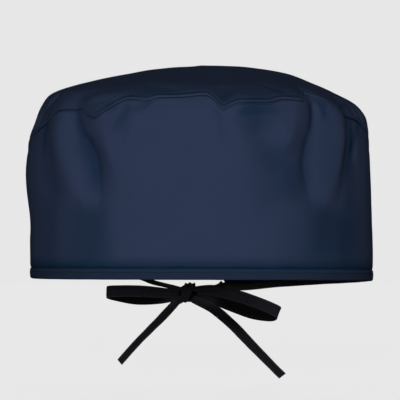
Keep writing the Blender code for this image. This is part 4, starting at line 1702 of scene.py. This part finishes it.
@dataclass
class Bow:
    """The two ties, each one tape from the hem's end through the knot, a loop and the knot to its tail."""

    form: CapForm
    hem: Hem
    knot: Knot
    mouth_angle: float = 0.7
    mouth_height: float = 0.45
    mouth_width: float = 0.0044
    mouth_lean: float = 12.0

    def mouth(self, angle: float) -> Stop:
        """Where a tie comes out of the end of the hem casing."""
        turn = np.array([angle])
        run = self.form.hem_run(turn) + self.hem.height * self.mouth_height
        middle = self.form.cloth(turn, run, np.array([self.hem.wall / 2.0 - self.hem.proud]))[0]
        return Stop(*middle, self.mouth_width, self.mouth_lean)

    def tie(self, tape: Tape, nodes: Sequence[str]) -> list[Piece]:
        """Args:
            tape: The tie, from its mouth to the end of its tail.
            nodes: The nodes that it stands for.

        Returns:
            The tie and its stitches.
        """
        piece = tape.build()
        declare(piece, "tie_tape", *nodes)
        made = [tape.stitching(1.0), tape.stitching(-1.0)]
        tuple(tape.stops[0][:3])
        return [piece, *made]

    def build(self) -> list[Piece]:
        """Make both ties and the knot."""
        left_mouth = self.mouth(self.form.LEFT_EDGE - self.mouth_angle)
        right_mouth = self.mouth(self.form.RIGHT_EDGE + self.mouth_angle)
        left = Tape("tie_left", (left_mouth, *LEAD_LEFT, *LOOP_LEFT, *TAIL_RIGHT), overhang_shadow=0.34)
        right = Tape("tie_right", (right_mouth, *LEAD_RIGHT, *LOOP_RIGHT, *TAIL_LEFT), cupping=-0.00035)
        wrap = self.knot.build()
        return [
            wrap,
            *self.tie(left, ("tie_lead_left", "bow_loop_left", "tie_tail_right")),
            *self.tie(right, ("tie_lead_right", "bow_loop_right", "tie_tail_left")),
        ]


class Lamp(NamedTuple):
    """A wide soft light. Azimuth 0 is in front of the cap, and 90 at its right."""

    name: str
    azimuth: float
    elevation: float
    strength: float
    softness: float

    def shine(self) -> None:
        """Put the light in the scene."""
        data = bpy.data.lights.new(self.name, "SUN")
        data.energy = self.strength * math.pi
        data.angle = math.radians(self.softness)
        lamp = put(self.name, data)
        turn, rise = math.radians(self.azimuth), math.radians(self.elevation)
        towards = Vector((math.sin(turn) * math.cos(rise), -math.cos(turn) * math.cos(rise), math.sin(rise)))
        lamp.rotation_euler = towards.to_track_quat("Z", "Y").to_euler()
        lamp.visible_glossy = False


@dataclass
class Studio:
    """The plain pale floor, the soft light and the camera, which is level with the hem.

    pale is how bright the floor and the surroundings look, and ambient and gloss how much light
    the surroundings give to matt and to glossy cloth.
    """

    distance: float = 1.6
    aim: Vector = field(default_factory=lambda: Vector((-0.0008, 0.0, 0.0428)))
    view_width: float = 0.2112
    sensor: float = 36.0
    nearest: float = 0.01
    farthest: float = 200.0
    pale: float = 0.80
    floor_albedo: float = 0.15
    floor_size: float = 60.0
    floor_gap: float = 0.002
    ambient: float = 0.03
    gloss: float = 0.02
    lamps: tuple[Lamp, ...] = (
        Lamp("key_light", -3.0, 0.5, 1.14, 20.0),
        Lamp("back_light", 180.0, 14.0, 0.4, 8.0),
        Lamp("left_light", -118.0, 8.0, 0.04, 50.0),
        Lamp("right_light", 118.0, 8.0, 0.09, 50.0),
    )

    def camera(self) -> None:
        """Set the camera up."""
        data = bpy.data.cameras.new("camera")
        camera = put("camera", data)
        camera.location = Vector((self.aim.x, -self.distance, 0.0))
        sight = self.aim - camera.location
        camera.rotation_euler = sight.to_track_quat("-Z", "Y").to_euler()
        data.sensor_width = self.sensor
        data.lens = self.sensor * sight.length / self.view_width
        data.clip_start = self.nearest
        data.clip_end = self.farthest
        bpy.context.scene.camera = camera

    def floor(self) -> None:
        """The floor below the tails, which looks equally pale in any light."""
        low, _ = CAD_BOX
        shape = bmesh.new()
        bmesh.ops.create_grid(shape, x_segments=1, y_segments=1, size=self.floor_size)
        bmesh.ops.translate(shape, verts=shape.verts, vec=(0.0, 0.0, low.z - self.floor_gap))
        material = bpy.data.materials.new("pale_floor")
        tree = Tree.of(material)
        rises = (lamp.strength * math.sin(math.radians(lamp.elevation)) for lamp in self.lamps)
        glow = self.pale - self.floor_albedo * (self.ambient + sum(rises))
        seen = tree.node("ShaderNodeLightPath").outputs["Is Camera Ray"]
        tree.fill_own("Principled BSDF", {
            "Base Color": (self.floor_albedo,) * 3 + (1.0,),
            "Roughness": 1.0,
            "Specular IOR Level": 0.0,
            "Emission Color": (1.0, 1.0, 1.0, 1.0),
            "Emission Strength": tree.maths("MULTIPLY", seen, glow),
        })
        floor = put_shape("floor", shape, material)

    def world(self) -> None:
        """The pale surroundings, which give little light of their own."""
        world = bpy.data.worlds.new("studio")
        tree = Tree.of(world)
        ray = tree.node("ShaderNodeLightPath").outputs
        given = {"Value": ray["Is Glossy Ray"], "To Min": self.ambient, "To Max": self.gloss}
        unseen = tree.fill(tree.node("ShaderNodeMapRange"), given)["Result"]
        given = {"Value": ray["Is Camera Ray"], "To Min": unseen, "To Max": self.pale}
        level = tree.fill(tree.node("ShaderNodeMapRange"), given)["Result"]
        tree.fill_own("Background", {"Color": (1.0, 1.0, 1.0, 1.0), "Strength": level})
        bpy.context.scene.world = world

    def build(self) -> None:
        """Set up the whole studio."""
        self.camera()
        self.floor()
        self.world()
        for lamp in self.lamps:
            lamp.shine()
        bpy.context.scene.view_settings.view_transform = "Standard"


class Cut(NamedTuple):
    """The size a sheet of cloth was cut to: its width and length, and its area."""

    width: float
    length: float
    area: float


def main() -> None:
    """Build the studio and the cap."""
    logging.basicConfig(level=logging.INFO, format="%(message)s")
    Studio().build()
    form = CapForm()
    hem = Hem(form)
    made = Bow(form, hem, Knot()).build()
    hem_pieces = hem.build()
    panel, *edges = SidePanel(form, hem).build()
    crown, *arch = Crown(form).build()
    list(edges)
    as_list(arch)
    for piece in (*made, *hem_pieces, panel, *edges, crown, *arch):
        area = sum(face.area for face in piece.data.polygons)
        LOG.info("%s: %d faces, %.5f m2", piece.name, len(piece.data.polygons), area)


if __name__ == "__main__":
    main()
